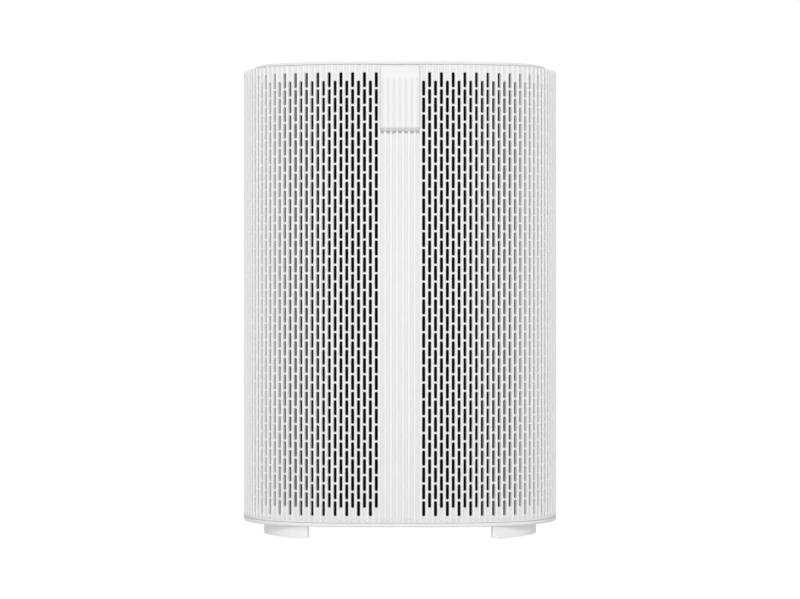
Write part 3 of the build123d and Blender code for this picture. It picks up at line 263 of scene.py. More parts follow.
def outline(s):
    """Point and outward angle on the plan outline, s along it from the front centre."""
    s = (s + 2 * QUARTER) % (4 * QUARTER) - 2 * QUARTER
    along = abs(s)
    if along > QUARTER:
        along = 2 * QUARTER - along
    if along <= FRONT_FLAT_HALF:
        x, y, angle = along, -DEPTH / 2, 0.0
    elif along <= BLEND_END:
        angle = (along - FRONT_FLAT_HALF) / BLEND_RADIUS
        x = BLEND_CENTRE[0] + BLEND_RADIUS * sin(angle)
        y = BLEND_CENTRE[1] - BLEND_RADIUS * cos(angle)
    elif along <= CORNER_END:
        angle = BLEND_ANGLE + (along - BLEND_END) / CORNER_RADIUS
        x = CORNER_CENTRE[0] + CORNER_RADIUS * sin(angle)
        y = CORNER_CENTRE[1] - CORNER_RADIUS * cos(angle)
    else:
        x, y, angle = WIDTH / 2, CORNER_CENTRE[1] + along - CORNER_END, pi / 2
    if abs(s) > QUARTER:
        y, angle = -y, pi - angle
    if s < 0:
        x, angle = -x, -angle
    return x, y, angle


def outline_point(s, inset, z):
    x, y, angle = outline(s)
    return Vector((x - inset * sin(angle), y + inset * cos(angle) + CENTRE_Y, z))


def smooth(t):
    t = min(max(t, 0.0), 1.0)
    return t * t * (3 - 2 * t)


def rounding(radius, off):
    """How far a rounded edge falls back at a distance past its start."""
    return radius - sqrt(max(radius ** 2 - off ** 2, 0.0)) if off > 0 else 0.0


def spread(first, last, steps):
    """Evenly spaced values from first to last, both included."""
    return [first + (last - first) * i / steps for i in range(steps + 1)]


def flute_depth(s, z, end):
    """Depth of the channels under the outline; each ends in a round at the level end."""
    across = s - round(s / PITCH) * PITCH
    below = max(end + RIB_EDGE - z, 0.0)
    away = sqrt(across ** 2 + below ** 2)
    return FLUTE_DEPTH * smooth((RIB_EDGE - away) / (RIB_EDGE - FLOOR_EDGE))


def new_piece(name, bm, body, slot, material=None, smooth_angle=35):
    """Object from a bmesh, shaded smooth up to an angle, riding on a body."""
    bmesh.ops.recalc_face_normals(bm, faces=bm.faces)
    mesh = bpy.data.meshes.new(name)
    bm.to_mesh(mesh)
    bm.free()
    mesh.shade_smooth()
    mesh.set_sharp_from_angle(angle=radians(smooth_angle))
    piece = bpy.data.objects.new(name, mesh)
    bpy.context.scene.collection.objects.link(piece)
    piece.data.materials.append(material or MATERIALS[slot])
    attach(piece, body)
    return piece


class FlutedWall:
    """Fluted wall with slots, made column by column from shared corners."""

    def __init__(self, first, last, levels, depth, end, port=None, extra=None):
        self.mesh = bmesh.new()
        self.painted_light_level = self.mesh.verts.layers.float.new("painted_light_level")
        self.corners = {}
        self.first, self.last = first, last
        self.levels, self.depth = levels, depth
        self.fine_below = end + RIB_EDGE + TINY
        self.port, self.extra = port, extra or {}

    def corner(self, s, z, inner=False):
        key = (round(s * KEY_SCALE), round(z * KEY_SCALE), inner)
        if key not in self.corners:
            inset = WALL if inner else self.depth(s, z)
            vert = self.mesh.verts.new(outline_point(s, inset, z))
            # Painted shade: a lower painted light level darkens the channel floors, the rim below the
            # channels' round ends and the pockets under the tab's lip
            crest = RIM_PAINTED_SHADE if z < self.fine_below else 1.0
            height = crest * (1 - min(inset / FLUTE_DEPTH, 1))
            vert[self.painted_light_level] = CHANNEL_PAINTED_LIGHT + (1 - CHANNEL_PAINTED_LIGHT) * height
            if inset == TAB_POCKET:
                vert[self.painted_light_level] = POCKET_PAINTED_LIGHT
            self.corners[key] = vert
        return self.corners[key]

    def face(self, places, inner=False):
        self.mesh.faces.new([self.corner(s, z, inner) for s, z in places])

    def reach(self, k, side):
        """Half a pitch, or a little less where the wall ends at the seam."""
        at_end = k == (self.first if side < 0 else self.last)
        return PITCH / 2 - (SEAM_GAP / 2 if at_end else 0)

    def floor_places(self, k, z):
        """Places across a channel's floor; more of them where the channel ends."""
        shares = (-1, -0.5, 0, 0.5, 1) if z <= self.fine_below else (-1, 0, 1)
        return [k * PITCH + share * FLOOR_EDGE for share in shares]

    def side_places(self, k, side):
        """Places from a channel's floor to the middle of the rib beside it."""
        flank = spread(FLOOR_EDGE, RIB_EDGE, FLANK_STEPS - 1)
        places = {*flank, self.reach(k, side), *self.extra.get((k, side), ())}
        return [k * PITCH + side * u for u in sorted(places)]

    def inner_places(self, k):
        middle = k * PITCH
        return [middle - self.reach(k, -1), middle, middle + self.reach(k, 1)]

    def across(self, k, z):
        """Every place across one column at a level, from left to right."""
        left, right = self.side_places(k, -1), self.side_places(k, 1)
        return left[:0:-1] + self.floor_places(k, z) + right[1:]

    def in_port(self, k, z):
        if self.port is None:
            return False
        first, last, low, high = self.port
        return first <= k <= last and low - TINY < z < high - TINY

    def column(self, k, slots=()):
        """One channel with half a rib on each side, from the wall's foot to its top."""
        inner = self.inner_places(k)
        sides = [self.side_places(k, -1), self.side_places(k, 1)]
        for low, high in pairwise(self.levels):
            if self.in_port(k, low):
                continue
            for places in sides:
                for a, b in pairwise(places):
                    self.face([(a, low), (b, low), (b, high), (a, high)])
            if any(cell[0] - TINY < low < cell[1] - TINY for cell in slots):
                continue
            self.floor(k, low, high)
            for a, b in pairwise(inner):
                self.face([(a, low), (b, low), (b, high), (a, high)], inner=True)
        for slot in slots:
            self.cell(k, *slot)
        for z in (self.levels[0], self.levels[-1]):
            ring = [self.corner(s, z) for s in self.across(k, z)]
            ring += [self.corner(s, z, True) for s in reversed(inner)]
            self.mesh.faces.new(ring)

    def floor(self, k, low, high):
        below = [(s, low) for s in self.floor_places(k, low)]
        above = [(s, high) for s in self.floor_places(k, high)]
        if len(below) == len(above):
            for i in range(len(below) - 1):
                self.face([below[i], below[i + 1], above[i + 1], above[i]])
        else:
            half_below, half_above = len(below) // 2, len(above) // 2
            self.face(below[:half_below + 1] + above[:half_above + 1][::-1])
            self.face(below[half_below:] + above[half_above:][::-1])

    def cell(self, k, low, high, slot_low, slot_high):
        """Floor round one slot, the slot's walls and the inner face round it."""
        flat = SLOT_WIDTH / 2 - SLOT_CORNER
        turns = spread(0, pi / 2, ARC_STEPS)
        arc = [(flat + SLOT_CORNER * sin(t), SLOT_CORNER * (1 - cos(t))) for t in turns]
        edge = [(0, slot_low)] + [(u, slot_low + rise) for u, rise in arc]
        edge += [(u, slot_high - rise) for u, rise in reversed(arc)] + [(0, slot_high)]
        self.opening(k * PITCH, low, high, edge, self.floor_places(k, low), self.inner_places(k))

    def round_port(self, radius):
        """Flat pad with a round hole in place of the columns that the port leaves out."""
        first, last, low, high = self.port
        level = (low + high) / 2
        edge = [(radius * cos(t), level + radius * sin(t)) for t in spread(-pi / 2, pi / 2, PORT_STEPS)]
        outer, inner = set(), set()
        for k in range(first, last + 1):
            outer |= set(self.across(k, low))
            inner |= set(self.inner_places(k))
        self.opening((first + last) / 2 * PITCH, low, high, edge, merged(outer), merged(inner))

    def opening(self, middle, low, high, edge, outer_places, inner_places):
        """Wall round a hole whose right half is edge, with the hole's own walls."""
        between = [z for z in self.levels if low + TINY < z < high - TINY]
        for side in (-1, 1):
            hole = [(middle + side * u, z) for u, z in edge]
            for inner, places in ((False, outer_places), (True, inner_places)):
                out = sorted((s for s in places if side * (s - middle) > -TINY), key=lambda s: side * s)
                ring = [(s, low) for s in out] + [(out[-1], z) for z in between]
                ring += [(s, high) for s in reversed(out)] + hole[::-1]
                self.face(ring, inner)
            for a, b in pairwise(hole):
                walls = [self.corner(*a), self.corner(*b), self.corner(*b, True), self.corner(*a, True)]
                self.mesh.faces.new(walls)
            # Painted shade on the inner ends of the slots' walls
            for place in hole:
                self.corner(*place, True)[self.painted_light_level] = SLOT_END_PAINTED_LIGHT

    def close_ends(self):
        """Close the wall's two upright ends."""
        for s in (self.inner_places(self.first)[0], self.inner_places(self.last)[2]):
            for low, high in pairwise(self.levels):
                self.mesh.faces.new([self.corner(s, low), self.corner(s, high),
                                     self.corner(s, high, True), self.corner(s, low, True)])


def merged(places):
    """Sorted places without the doubles that neighbours share."""
    kept = []
    for s in sorted(places):
        if not kept or s - kept[-1] > TINY:
            kept.append(s)
    return kept


def round_edges(bm, corners, radius):
    """Round every edge that meets one of the corners."""
    edges = dict.fromkeys(edge for vert in corners for edge in vert.link_edges)
    bmesh.ops.bevel(bm, geom=list(edges), offset=radius, segments=2, profile=0.5, affect="EDGES")


def block_into(bm, low, high, edge=BLOCK_EDGE):
    """Add a closed box with rounded edges to a bmesh."""
    corners = bmesh.ops.create_cube(bm, size=1.0)["verts"]
    for vert in corners:
        for i in range(3):
            vert.co[i] = low[i] if vert.co[i] < 0 else high[i]
    round_edges(bm, corners, edge)


def turned_into(bm, place, profile, along_y=False):
    """Add a turned form to a bmesh: radius and height pairs about an upright or a Y axis."""
    rings = []
    for radius, height in profile:
        ring = []
        for i in range(TURN_STEPS if radius > 0 else 1):
            turn = 2 * pi * i / TURN_STEPS
            a, b = radius * cos(turn), radius * sin(turn)
            offset = Vector((a, height, b)) if along_y else Vector((a, b, height))
            ring.append(bm.verts.new(Vector(place) + offset))
        rings.append(ring)
    for lower, upper in pairwise(rings):
        for i in range(TURN_STEPS):
            corners = [lower[i % len(lower)], lower[(i + 1) % len(lower)]]
            corners += [upper[(i + 1) % len(upper)], upper[i % len(upper)]]
            bm.faces.new(list(dict.fromkeys(corners)))


def bored_post_into(bm, place, radius, length, bore, along_y=False):
    """Add a round post with a screw hole in its near end to a bmesh."""
    profile = [(0, bore), (SCREW_HOLE_RADIUS, bore), (SCREW_HOLE_RADIUS, 0)]
    profile += [(radius, 0), (radius, length), (0, length)]
    turned_into(bm, place, profile, along_y)


def band_into(bm, a, b):
    """Add the faces between two closed loops of corners."""
    for i in range(len(a)):
        j = (i + 1) % len(a)
        bm.faces.new([a[i], a[j], b[j], b[i]])


def sheet_into(bm, front, back, weave=None):
    """Close two equal grids of points into a thin form; weave gives each point's place on the cloth."""
    rows, columns = len(front), len(front[0])
    skins = [[[bm.verts.new(point) for point in row] for row in grid] for grid in (front, back)]
    for skin in skins:
        for i in range(rows - 1):
            for j in range(columns - 1):
                bm.faces.new([skin[i][j], skin[i][j + 1], skin[i + 1][j + 1], skin[i + 1][j]])
    border = [(0, j) for j in range(columns)] + [(i, columns - 1) for i in range(1, rows)]
    border += [(rows - 1, j) for j in reversed(range(columns - 1))]
    border += [(i, 0) for i in reversed(range(1, rows - 1))]
    band_into(bm, *[[skin[i][j] for i, j in border] for skin in skins])
    if weave:
        layer = bm.verts.layers.float_vector["weave"]
        for skin in skins:
            for row, places in zip(skin, weave):
                for vert, (u, v) in zip(row, places):
                    vert[layer] = (u, 0, v)


def both_sides(path, widths):
    """Two lines beside a flat path, each half its width away."""
    lines = [], []
    for i, (x, y) in enumerate(path):
        before, after = path[max(i - 1, 0)], path[min(i + 1, len(path) - 1)]
        length = dist(before, after)
        a, b = (before[1] - after[1]) / length, (after[0] - before[0]) / length
        for line, out in zip(lines, (-widths[i] / 2, widths[i] / 2)):
            line.append((x + out * a, y + out * b))
    return lines


def path_length(points):
    return sum(dist(a, b) for a, b in pairwise(points))


# Materials


def new_material(name):
    """A node material with its tree and its main shader."""
    material = bpy.data.materials.new(name)
    material.use_nodes = True
    return material, material.node_tree, material.node_tree.nodes["Principled BSDF"]


def set_inputs(node, values):
    for name, value in values.items():
        node.inputs[name].default_value = value


def add_node(tree, kind, values):
    """New node with plain values on some of its inputs."""
    node = tree.nodes.new(kind)
    set_inputs(node, values)
    return node


def math_node(tree, operation, *values):
    """Result of a math node whose inputs are sockets or plain numbers."""
    node = tree.nodes.new("ShaderNodeMath")
    node.operation = operation
    for socket, value in zip(node.inputs, values):
        if isinstance(value, bpy.types.NodeSocket):
            tree.links.new(value, socket)
        else:
            socket.default_value = value
    return node.outputs["Value"]


def bumped(tree, shader, source, strength, height):
    """Relief of the surface from a source between 0 and 1."""
    bump = add_node(tree, "ShaderNodeBump", {"Strength": strength, "Distance": height})
    tree.links.new(source, bump.inputs["Height"])
    tree.links.new(bump.outputs["Normal"], shader.inputs["Normal"])


def grain(tree, shader, scale, strength, height=GRAIN_HEIGHT):
    """Fine moulded texture as bump from noise, in object space."""
    place = tree.nodes.new("ShaderNodeTexCoord")
    noise = add_node(tree, "ShaderNodeTexNoise", {"Scale": scale, "Detail": GRAIN_DETAIL})
    tree.links.new(place.outputs["Object"], noise.inputs["Vector"])
    bumped(tree, shader, noise.outputs["Fac"], strength, height)
    return noise


def shade_steps(tree, share, stops, socket):
    """Colour that runs through the stops, each a place on the share and a colour."""
    ramp = tree.nodes.new("ShaderNodeValToRGB")
    elements = ramp.color_ramp.elements
    for element, (position, colour) in zip(elements, (stops[0], stops[-1])):
        element.position = position
        element.color = (*colour, 1)
    for position, colour in stops[1:-1]:
        elements.new(position).color = (*colour, 1)
    tree.links.new(share, ramp.inputs["Fac"])
    tree.links.new(ramp.outputs["Color"], socket)


def shade_range(tree, source, dark, light, socket):
    """Colour that varies between two close shades with a noise."""
    shade_steps(tree, source, [(DARK_UNDER, dark), (LIGHT_OVER, light)], socket)


def value_range(tree, source, low, high, socket):
    """Number between two values that follows a source from 0 to 1."""
    reach = add_node(tree, "ShaderNodeMapRange", {"To Min": low, "To Max": high})
    tree.links.new(source, reach.inputs["Value"])
    tree.links.new(reach.outputs["Result"], socket)


def finished(name, rough, scale=GRAIN_SCALE, strength=GRAIN_STRENGTH, metallic=0.0):
    """Moulded or plated surface with a fine even grain, which only lacks its colour."""
    material, tree, shader = new_material(name)
    shader.inputs["Metallic"].default_value = metallic
    if rough > GLOSS_LIMIT and not metallic:
        shader.inputs["Specular IOR Level"].default_value = MATT_SPECULAR
    noise = grain(tree, shader, scale, strength).outputs["Fac"]
    value_range(tree, noise, rough - ROUGH_SPREAD, rough + ROUGH_SPREAD, shader.inputs["Roughness"])
    return material, tree, noise, shader.inputs["Base Color"]


def moulded(name, dark, light, *finish):
    """Moulded plastic, rubber or plated metal: two shades, then roughness, scale, strength, metallic."""
    material, tree, noise, socket = finished(name, *finish)
    shade_range(tree, noise, dark, light, socket)
    return material


def painted_by_height(name, stops, top, rough):
    """Moulded plastic whose colour runs through the stops, each at a height, up to the top, for painted
    light and shade by height.
    """
    material, tree, noise, socket = finished(name, rough)
    place = tree.nodes.new("ShaderNodeTexCoord")
    axes = tree.nodes.new("ShaderNodeSeparateXYZ")
    tree.links.new(place.outputs["Object"], axes.inputs["Vector"])
    height = math_node(tree, "DIVIDE", axes.outputs["Z"], top)
    share = math_node(tree, "MULTIPLY_ADD", noise, HEIGHT_BLUR, height)
    shade_steps(tree, share, [(z / top, colour) for z, colour in stops], socket)
    return material


def fluted_with_painted_shade(name, pocket, wall, channel, crest, rough):
    """Moulded plastic with painted shade: darker on the floors of its channels, at the slots' inner ends
    and in the pockets than on the ribs' crests.
    """
    material, tree, shader = new_material(name)
    shader.inputs["Specular IOR Level"].default_value = MATT_SPECULAR
    noise = grain(tree, shader, GRAIN_SCALE, FLUTED_GRAIN).outputs["Fac"]
    painted_light_level = tree.nodes.new("ShaderNodeAttribute")
    painted_light_level.attribute_name = "painted_light_level"
    share = math_node(tree, "MULTIPLY_ADD", noise, PAINTED_LIGHT_BLUR, painted_light_level.outputs["Fac"])
    # The crest colour is the plastic's own; the pocket, wall and channel colours are painted shade
    stops = [(POCKET_PAINTED_LIGHT, pocket), (SLOT_END_PAINTED_LIGHT, wall), (CHANNEL_PAINTED_LIGHT, channel), (1.0, crest)]
    shade_steps(tree, share, stops, shader.inputs["Base Color"])
    value_range(tree, share, rough + PAINTED_SHADE_ROUGHER, rough - ROUGH_SPREAD, shader.inputs["Roughness"])
    return material


def woven(name, dark, light, threads, rough=0.85):
    """Woven cloth or mesh: two crossed bands of threads."""
    material, tree, shader = new_material(name)
    set_inputs(shader, {"Roughness": rough, "Specular IOR Level": CLOTH_SPECULAR})
    place = tree.nodes.new("ShaderNodeAttribute")
    place.attribute_name = "weave"
    waves = []
    for direction in ("X", "Z"):
        wave = add_node(tree, "ShaderNodeTexWave", {"Scale": threads})
        wave.bands_direction = direction
        tree.links.new(place.outputs["Vector"], wave.inputs["Vector"])
        waves.append(wave.outputs["Fac"])
    lift = math_node(tree, "MAXIMUM", *waves)
    bumped(tree, shader, lift, WEAVE_STRENGTH, WEAVE_HEIGHT)
    shade_range(tree, lift, dark, light, shader.inputs["Base Color"])
    return material


def felted(name, dark, light):
    """Pressed felt: matted fibres over a coarser unevenness."""
    material, tree, shader = new_material(name)
    set_inputs(shader, {"Roughness": 0.95, "Specular IOR Level": 0.1, "Sheen Weight": 0.15})
    fibres = grain(tree, shader, 1100.0, 0.7, 0.15 * MM)
    set_inputs(fibres, {"Detail": 8.0, "Distortion": 1.5})
    shade_range(tree, fibres.outputs["Fac"], dark, light, shader.inputs["Base Color"])
    return material


def grey(level):
    return (level, level, level)


# Fluted plastic: the crest colour is its own, the darker colours are painted shade in pockets, slot ends
# and channels
FLUTED_PAINTED_SHADE = fluted_with_painted_shade("fluted_plastic_painted_shade", (0.56, 0.556, 0.546), (0.80, 0.794, 0.778), (0.81, 0.804, 0.788),
                (0.955, 0.947, 0.930), 0.5)
MARK = moulded("mark_ink", (0.20, 0.21, 0.22), (0.25, 0.26, 0.27), 0.6)
THREAD = moulded("sewing_thread", (0.60, 0.61, 0.63), (0.72, 0.73, 0.75), 0.7, 3000.0, 0.4)

# Painted shade on the base where the feet meet the tray's lower edge, and painted light on the lower part
# of the feet
BASE_PAINTED_LIGHT_AND_SHADE = [
    (0.0, (0.975, 0.973, 0.962)),
    (BASE_LOW - 5.0 * MM, (0.965, 0.963, 0.952)),
    (BASE_LOW - 0.9 * MM, (0.84, 0.838, 0.83)),
    (BASE_LOW + 0.5 * MM, (0.70, 0.698, 0.69)),
    (BASE_LOW + 1.0 * MM, (0.89, 0.89, 0.88)),
    (BASE_HIGH, (0.90, 0.90, 0.89)),
]

MATERIALS = {
    "shell": moulded("shell_plastic", (0.935, 0.928, 0.910), (0.960, 0.952, 0.934), 0.5),
    "base": painted_by_height("base_plastic_painted_light_and_shade", BASE_PAINTED_LIGHT_AND_SHADE, BASE_HIGH, 0.5),
    "pads": moulded("pad_rubber", grey(0.09), grey(0.14), 0.8, 900.0, 0.3),
    "inner": moulded("inner_plastic", (0.78, 0.78, 0.77), (0.83, 0.83, 0.82), 0.55),
    "mesh": woven("lint_mesh_cloth", grey(0.002), grey(0.007), 700.0),
    "grille": moulded("grille_plastic", (0.86, 0.86, 0.85), (0.89, 0.89, 0.88), 0.5),
    "panel": moulded("panel_plastic", grey(0.88), grey(0.91), 0.18, 600.0, 0.02),
    "lens": moulded("lens_plastic", (0.80, 0.86, 0.84), (0.85, 0.90, 0.88), 0.2, 600.0, 0.02),
    "button": moulded("button_plastic", grey(0.87), grey(0.90), 0.45),
    "fan": moulded("fan_plastic", (0.17, 0.17, 0.18), (0.22, 0.22, 0.23), 0.45),
    "filter_frame": moulded("frame_card", (0.82, 0.81, 0.78), (0.88, 0.87, 0.84), 0.8, 300.0, 0.3),
    "carbon": felted("carbon_felt", grey(0.03), grey(0.085)),
    "paper": moulded("pleat_paper", (0.88, 0.87, 0.83), (0.94, 0.93, 0.89), 0.9, 900.0, 0.4),
    "foam": moulded("seal_foam", grey(0.11), grey(0.18), 0.95, 1800.0, 0.8),
    "ribbon": woven("ribbon_cloth", (0.66, 0.67, 0.69), (0.78, 0.79, 0.81), 400.0, 0.7),
    "steel": moulded("plated_steel", (0.58, 0.58, 0.59), (0.66, 0.66, 0.67), 0.3, 500.0, 0.05, 1.0),
    "core": moulded("core_iron", (0.2, 0.2, 0.22), (0.28, 0.28, 0.3), 0.5, 700.0, 0.2, 0.6),
    "board": moulded("solder_mask", (0.06, 0.26, 0.12), (0.09, 0.32, 0.15), 0.3, 400.0, 0.05),
    "dark_part": moulded("dark_plastic", grey(0.04), grey(0.06), 0.45),
    "sink": moulded("sink_aluminium", (0.66, 0.66, 0.68), (0.73, 0.73, 0.75), 0.35, 500.0, 0.05, 1.0),
}
MATERIALS["motor_shell"] = MATERIALS["steel"]


def dress_nodes():
    """Give every carried-over node the material of its slot."""
    for part in frame["record"]["subparts"]:
        mesh = frame["nodes"][part["node"]].data
        mesh.materials.clear()
        mesh.materials.append(MATERIALS[part["material_slot"]])


# Pieces


def flute_end_levels(end):
    """Heights that follow the round lower ends of the channels."""
    return [end + RIB_EDGE * (1 - cos(t)) for t in spread(0, pi / 2, FLUTE_END_STEPS)]


def cover_levels():
    """Heights of the cover's rows: rim, round ends of the flutes, half slots, top edge."""
    end = COVER_BOTTOM + RIM_HEIGHT
    low = COVER_BOTTOM + SLOT_BOTTOM_MARGIN - SLOT_BRIDGE / 2
    high = SHELL_TOP - SLOT_TOP_MARGIN + SLOT_BRIDGE / 2
    rounds = flute_end_levels(end)
    halves = spread(low, high, 2 * SLOT_ROWS + 1)
    seat = TAB_LOW.z - TAB_GAP_BELOW
    steps = [seat - SEAT_STEP, seat, TAB_LOW.z - SEAT_STEP, TAB_LOW.z]
    edges = [COVER_BOTTOM, COVER_BOTTOM + EDGE_ROUND, SHELL_TOP - EDGE_ROUND, SHELL_TOP]
    return sorted(edges + rounds + halves + steps), halves, end


def edge_inset(z, bottom, top):
    """Rounded upper and lower edges of a wall."""
    return rounding(EDGE_ROUND, max(bottom + EDGE_ROUND - z, z - top + EDGE_ROUND))


def make_cover():
    """Fluted front with its staggered slots, the tab's seat and the pockets under the tab's lip."""
    levels, halves, end = cover_levels()
    seat_low = TAB_LOW.z - TAB_GAP_BELOW
    seat_half = TAB_HALF + TAB_SIDE_GAP

    def depth(s, z):
        inset = flute_depth(s, z, end) + edge_inset(z, COVER_BOTTOM, SHELL_TOP)
        if z < seat_low - TINY or abs(s) > seat_half + TINY:
            return inset
        if z > TAB_LOW.z - TINY:
            return TAB_SEAT
        return TAB_POCKET if inset > POCKET_FROM else inset

    seat_edge = seat_half - SPINE_FLUTES * PITCH
    seat_sides = (seat_edge, seat_edge + SEAT_SIDE_STEP)
    extra = {(-SPINE_FLUTES, -1): seat_sides, (SPINE_FLUTES, 1): seat_sides}
    wall = FlutedWall(-COVER_LAST_FLUTE, COVER_LAST_FLUTE, levels, depth, end, extra=extra)
    for k in range(-COVER_LAST_FLUTE, COVER_LAST_FLUTE + 1):
        count = abs(k)
        slots = []
        if SPINE_FLUTES < count <= SLOT_LAST_FLUTE:
            start = 1 if (count % 2 == 0) == (k < 0) else 0
            for row in range(SLOT_ROWS):
                low, high = halves[start + 2 * row], halves[start + 2 * row + 2]
                slots.append((low, high, low + SLOT_BRIDGE / 2, high - SLOT_BRIDGE / 2))
        wall.column(k, slots)
    wall.close_ends()
    piece = new_piece("cover_shell", wall.mesh, "cover", "shell", FLUTED_PAINTED_SHADE)
    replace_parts(piece, "front_cover")


def pocket_block_into(bm, low, high, middle, radius, depth):
    """Add a block with a round pocket in its rear face to a bmesh."""
    x, z = middle
    square = [(low[0], low[2]), (high[0], low[2]), (high[0], high[2]), (low[0], high[2])]
    front = [bm.verts.new((a, low[1], b)) for a, b in square]
    back = [bm.verts.new((a, high[1], b)) for a, b in square]
    turns = [2 * pi * i / POCKET_STEPS - 3 * pi / 4 for i in range(POCKET_STEPS)]
    mouth = [bm.verts.new((x + radius * cos(t), high[1], z + radius * sin(t))) for t in turns]
    floor = [bm.verts.new((vert.co.x, high[1] - depth, vert.co.z)) for vert in mouth]
    quarter = POCKET_STEPS // 4
    bm.faces.new(front)
    bm.faces.new(floor)
    band_into(bm, front, back)
    band_into(bm, mouth, floor)
    for i in range(4):
        arc = [mouth[(i * quarter + n) % POCKET_STEPS] for n in range(quarter + 1)]
        bm.faces.new([back[(i + 1) % 4], back[i]] + arc)
    round_edges(bm, front, BLOCK_EDGE)


def make_cover_bosses():
    """Blocks inside the cover's upright edges that hold its magnets."""
    low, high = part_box("cover_magnets")
    thick = high.y - low.y
    centre = high.x - MAGNET_RADIUS
    inside, outside = centre - MAGNET_BOSS / 2, centre + MAGNET_BOSS / 2 + EMBED
    pocket = MAGNET_RADIUS + MAGNET_CLEARANCE
    bm = bmesh.new()
    for side in (-1, 1):
        for level in (low.z + MAGNET_RADIUS, high.z - MAGNET_RADIUS):
            left, right = sorted((side * inside, side * outside))
            corner = (left, low.y - MAGNET_BOSS_WALL, level - MAGNET_BOSS / 2)
            other = (right, high.y, level + MAGNET_BOSS / 2)
            pocket_block_into(bm, corner, other, (side * centre, level), pocket, thick)
    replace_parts(new_piece("cover_bosses", bm, "cover", "shell"), "front_cover")


def make_rear():
    """Fluted sides and back, with the jack's flat pad and the sensor's vents."""
    low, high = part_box("rear_housing")
    end = low.z + RIM_HEIGHT
    jack_low, jack_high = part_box("power_jack")
    jack_level = (jack_low.z + jack_high.z) / 2
    pad_low, pad_high = jack_level - JACK_PAD / 2, jack_level + JACK_PAD / 2
    flat_low, flat_high = pad_low + JACK_PAD_STEP, pad_high - JACK_PAD_STEP
    sensor_low, sensor_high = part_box("dust_sensor")
    vent_low = (sensor_low.z + sensor_high.z - VENT_LENGTH) / 2
    vent = (vent_low - VENT_MARGIN, vent_low + VENT_LENGTH + VENT_MARGIN, vent_low, vent_low + VENT_LENGTH)
    first, last = COVER_LAST_FLUTE + 1, 2 * FLUTES_PER_SIDE - COVER_LAST_FLUTE - 1
    middle = FLUTES_PER_SIDE
    pad_flutes = int(JACK_PAD / 2 / PITCH)

    def depth(s, z):
        inset = flute_depth(s, z, end) + edge_inset(z, low.z, SHELL_TOP)
        if pad_low + TINY < z < pad_high - TINY and abs(s - middle * PITCH) < JACK_PAD / 2:
            return max(inset, FLUTE_DEPTH)
        return inset

    levels = [low.z, low.z + EDGE_ROUND, *flute_end_levels(end), pad_low, flat_low, flat_high, pad_high]
    levels += [vent[0], vent[1], SHELL_TOP - EDGE_ROUND, SHELL_TOP]
    port = (middle - pad_flutes, middle + pad_flutes, flat_low, flat_high)
    wall = FlutedWall(first, last, levels, depth, end, port)
    vents = range(middle + VENT_FIRST_FLUTE, middle + VENT_FIRST_FLUTE + VENT_FLUTES)
    for k in range(first, last + 1):
        wall.column(k, [vent] if k in vents else ())
    wall.round_port(JACK_HOLE_RADIUS)
    wall.close_ends()
    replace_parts(new_piece("rear_shell", wall.mesh, "housing", "shell", FLUTED_PAINTED_SHADE), "rear_housing")


def make_rear_forms():
    """Flanges beside the filter, ledge under the deck, screw bosses and board posts."""
    screen_low, screen_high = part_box("lint_mesh")
    low, top = screen_low.z, screen_high.z + FIT_GAP
    flange_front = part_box("strike_plates")[1].y
    board_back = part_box("main_board")[1].y
    board_level = (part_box("main_board")[0].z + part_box("main_board")[1].z) / 2
    wall_inside = WIDTH / 2 - WALL + EMBED
    bm = bmesh.new()
    for side in (-1, 1):
        edges = sorted((side * FLANGE_EDGE, side * wall_inside))
        block_into(bm, (edges[0], flange_front, low), (edges[1], flange_front + FLANGE_THICKNESS, top))
    first = (COVER_LAST_FLUTE + 1) * PITCH
    run = spread(first, 4 * QUARTER - first, 2 * FLUTES_PER_SIDE)
    ledge = []
    for z in (top - LEDGE_THICKNESS, top):
        for inset in (WALL - EMBED, WALL + LEDGE_WIDTH):
            ledge.append([outline_point(s, inset, z) for s in run])
    sheet_into(bm, ledge[:2], ledge[2:])
    for sx in (-1, 1):
        for sy in (-1, 1):
            boss = (sx * BOSS_PLACE[0], sy * BOSS_PLACE[1] + CENTRE_Y, low)
            bored_post_into(bm, boss, BOSS_RADIUS, BOSS_HEIGHT, BOSS_HEIGHT - WALL)
            post = (sx * STANDOFF_PLACE[0], board_back, board_level + sy * STANDOFF_PLACE[1])
            length = STANDOFF_LENGTH + EMBED
            bored_post_into(bm, post, STANDOFF_RADIUS, length, STANDOFF_LENGTH, along_y=True)
    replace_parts(new_piece("rear_forms", bm, "housing", "shell"), "rear_housing")


def hemmed(first, last, steps):
    """Places across the screen, with its hem marked off at both ends."""
    inside = spread(first + SCREEN_HEM + MM, last - SCREEN_HEM - MM, steps)
    return [first, first + SCREEN_HEM, *inside, last - SCREEN_HEM, last]


def make_screen():
    """Fine dark cloth stretched behind the slots, hemmed all round."""
    low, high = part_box("lint_mesh")
    span = (SLOT_LAST_FLUTE + 0.5) * PITCH
    places = hemmed(-span, span, 2 * SLOT_LAST_FLUTE)
    rows = hemmed(low.z, high.z, SCREEN_ROWS)
    middle = WALL + FIT_GAP + SCREEN_SHEET

    def half_thick(s, z):
        rim = min(span - abs(s), z - low.z, high.z - z) < SCREEN_HEM + TINY
        return SCREEN_SHEET if rim else SCREEN_SHEET / 2

    bm = bmesh.new()
    bm.verts.layers.float_vector.new("weave")
    front = [[outline_point(s, middle - half_thick(s, z), z) for s in places] for z in rows]
    back = [[outline_point(s, middle + half_thick(s, z), z) for s in places] for z in rows]
    sheet_into(bm, front, back, [[(s, z) for s in places] for z in rows])
    piece = new_piece("lint_screen", bm, "cover", "mesh")
    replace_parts(piece, "lint_mesh")


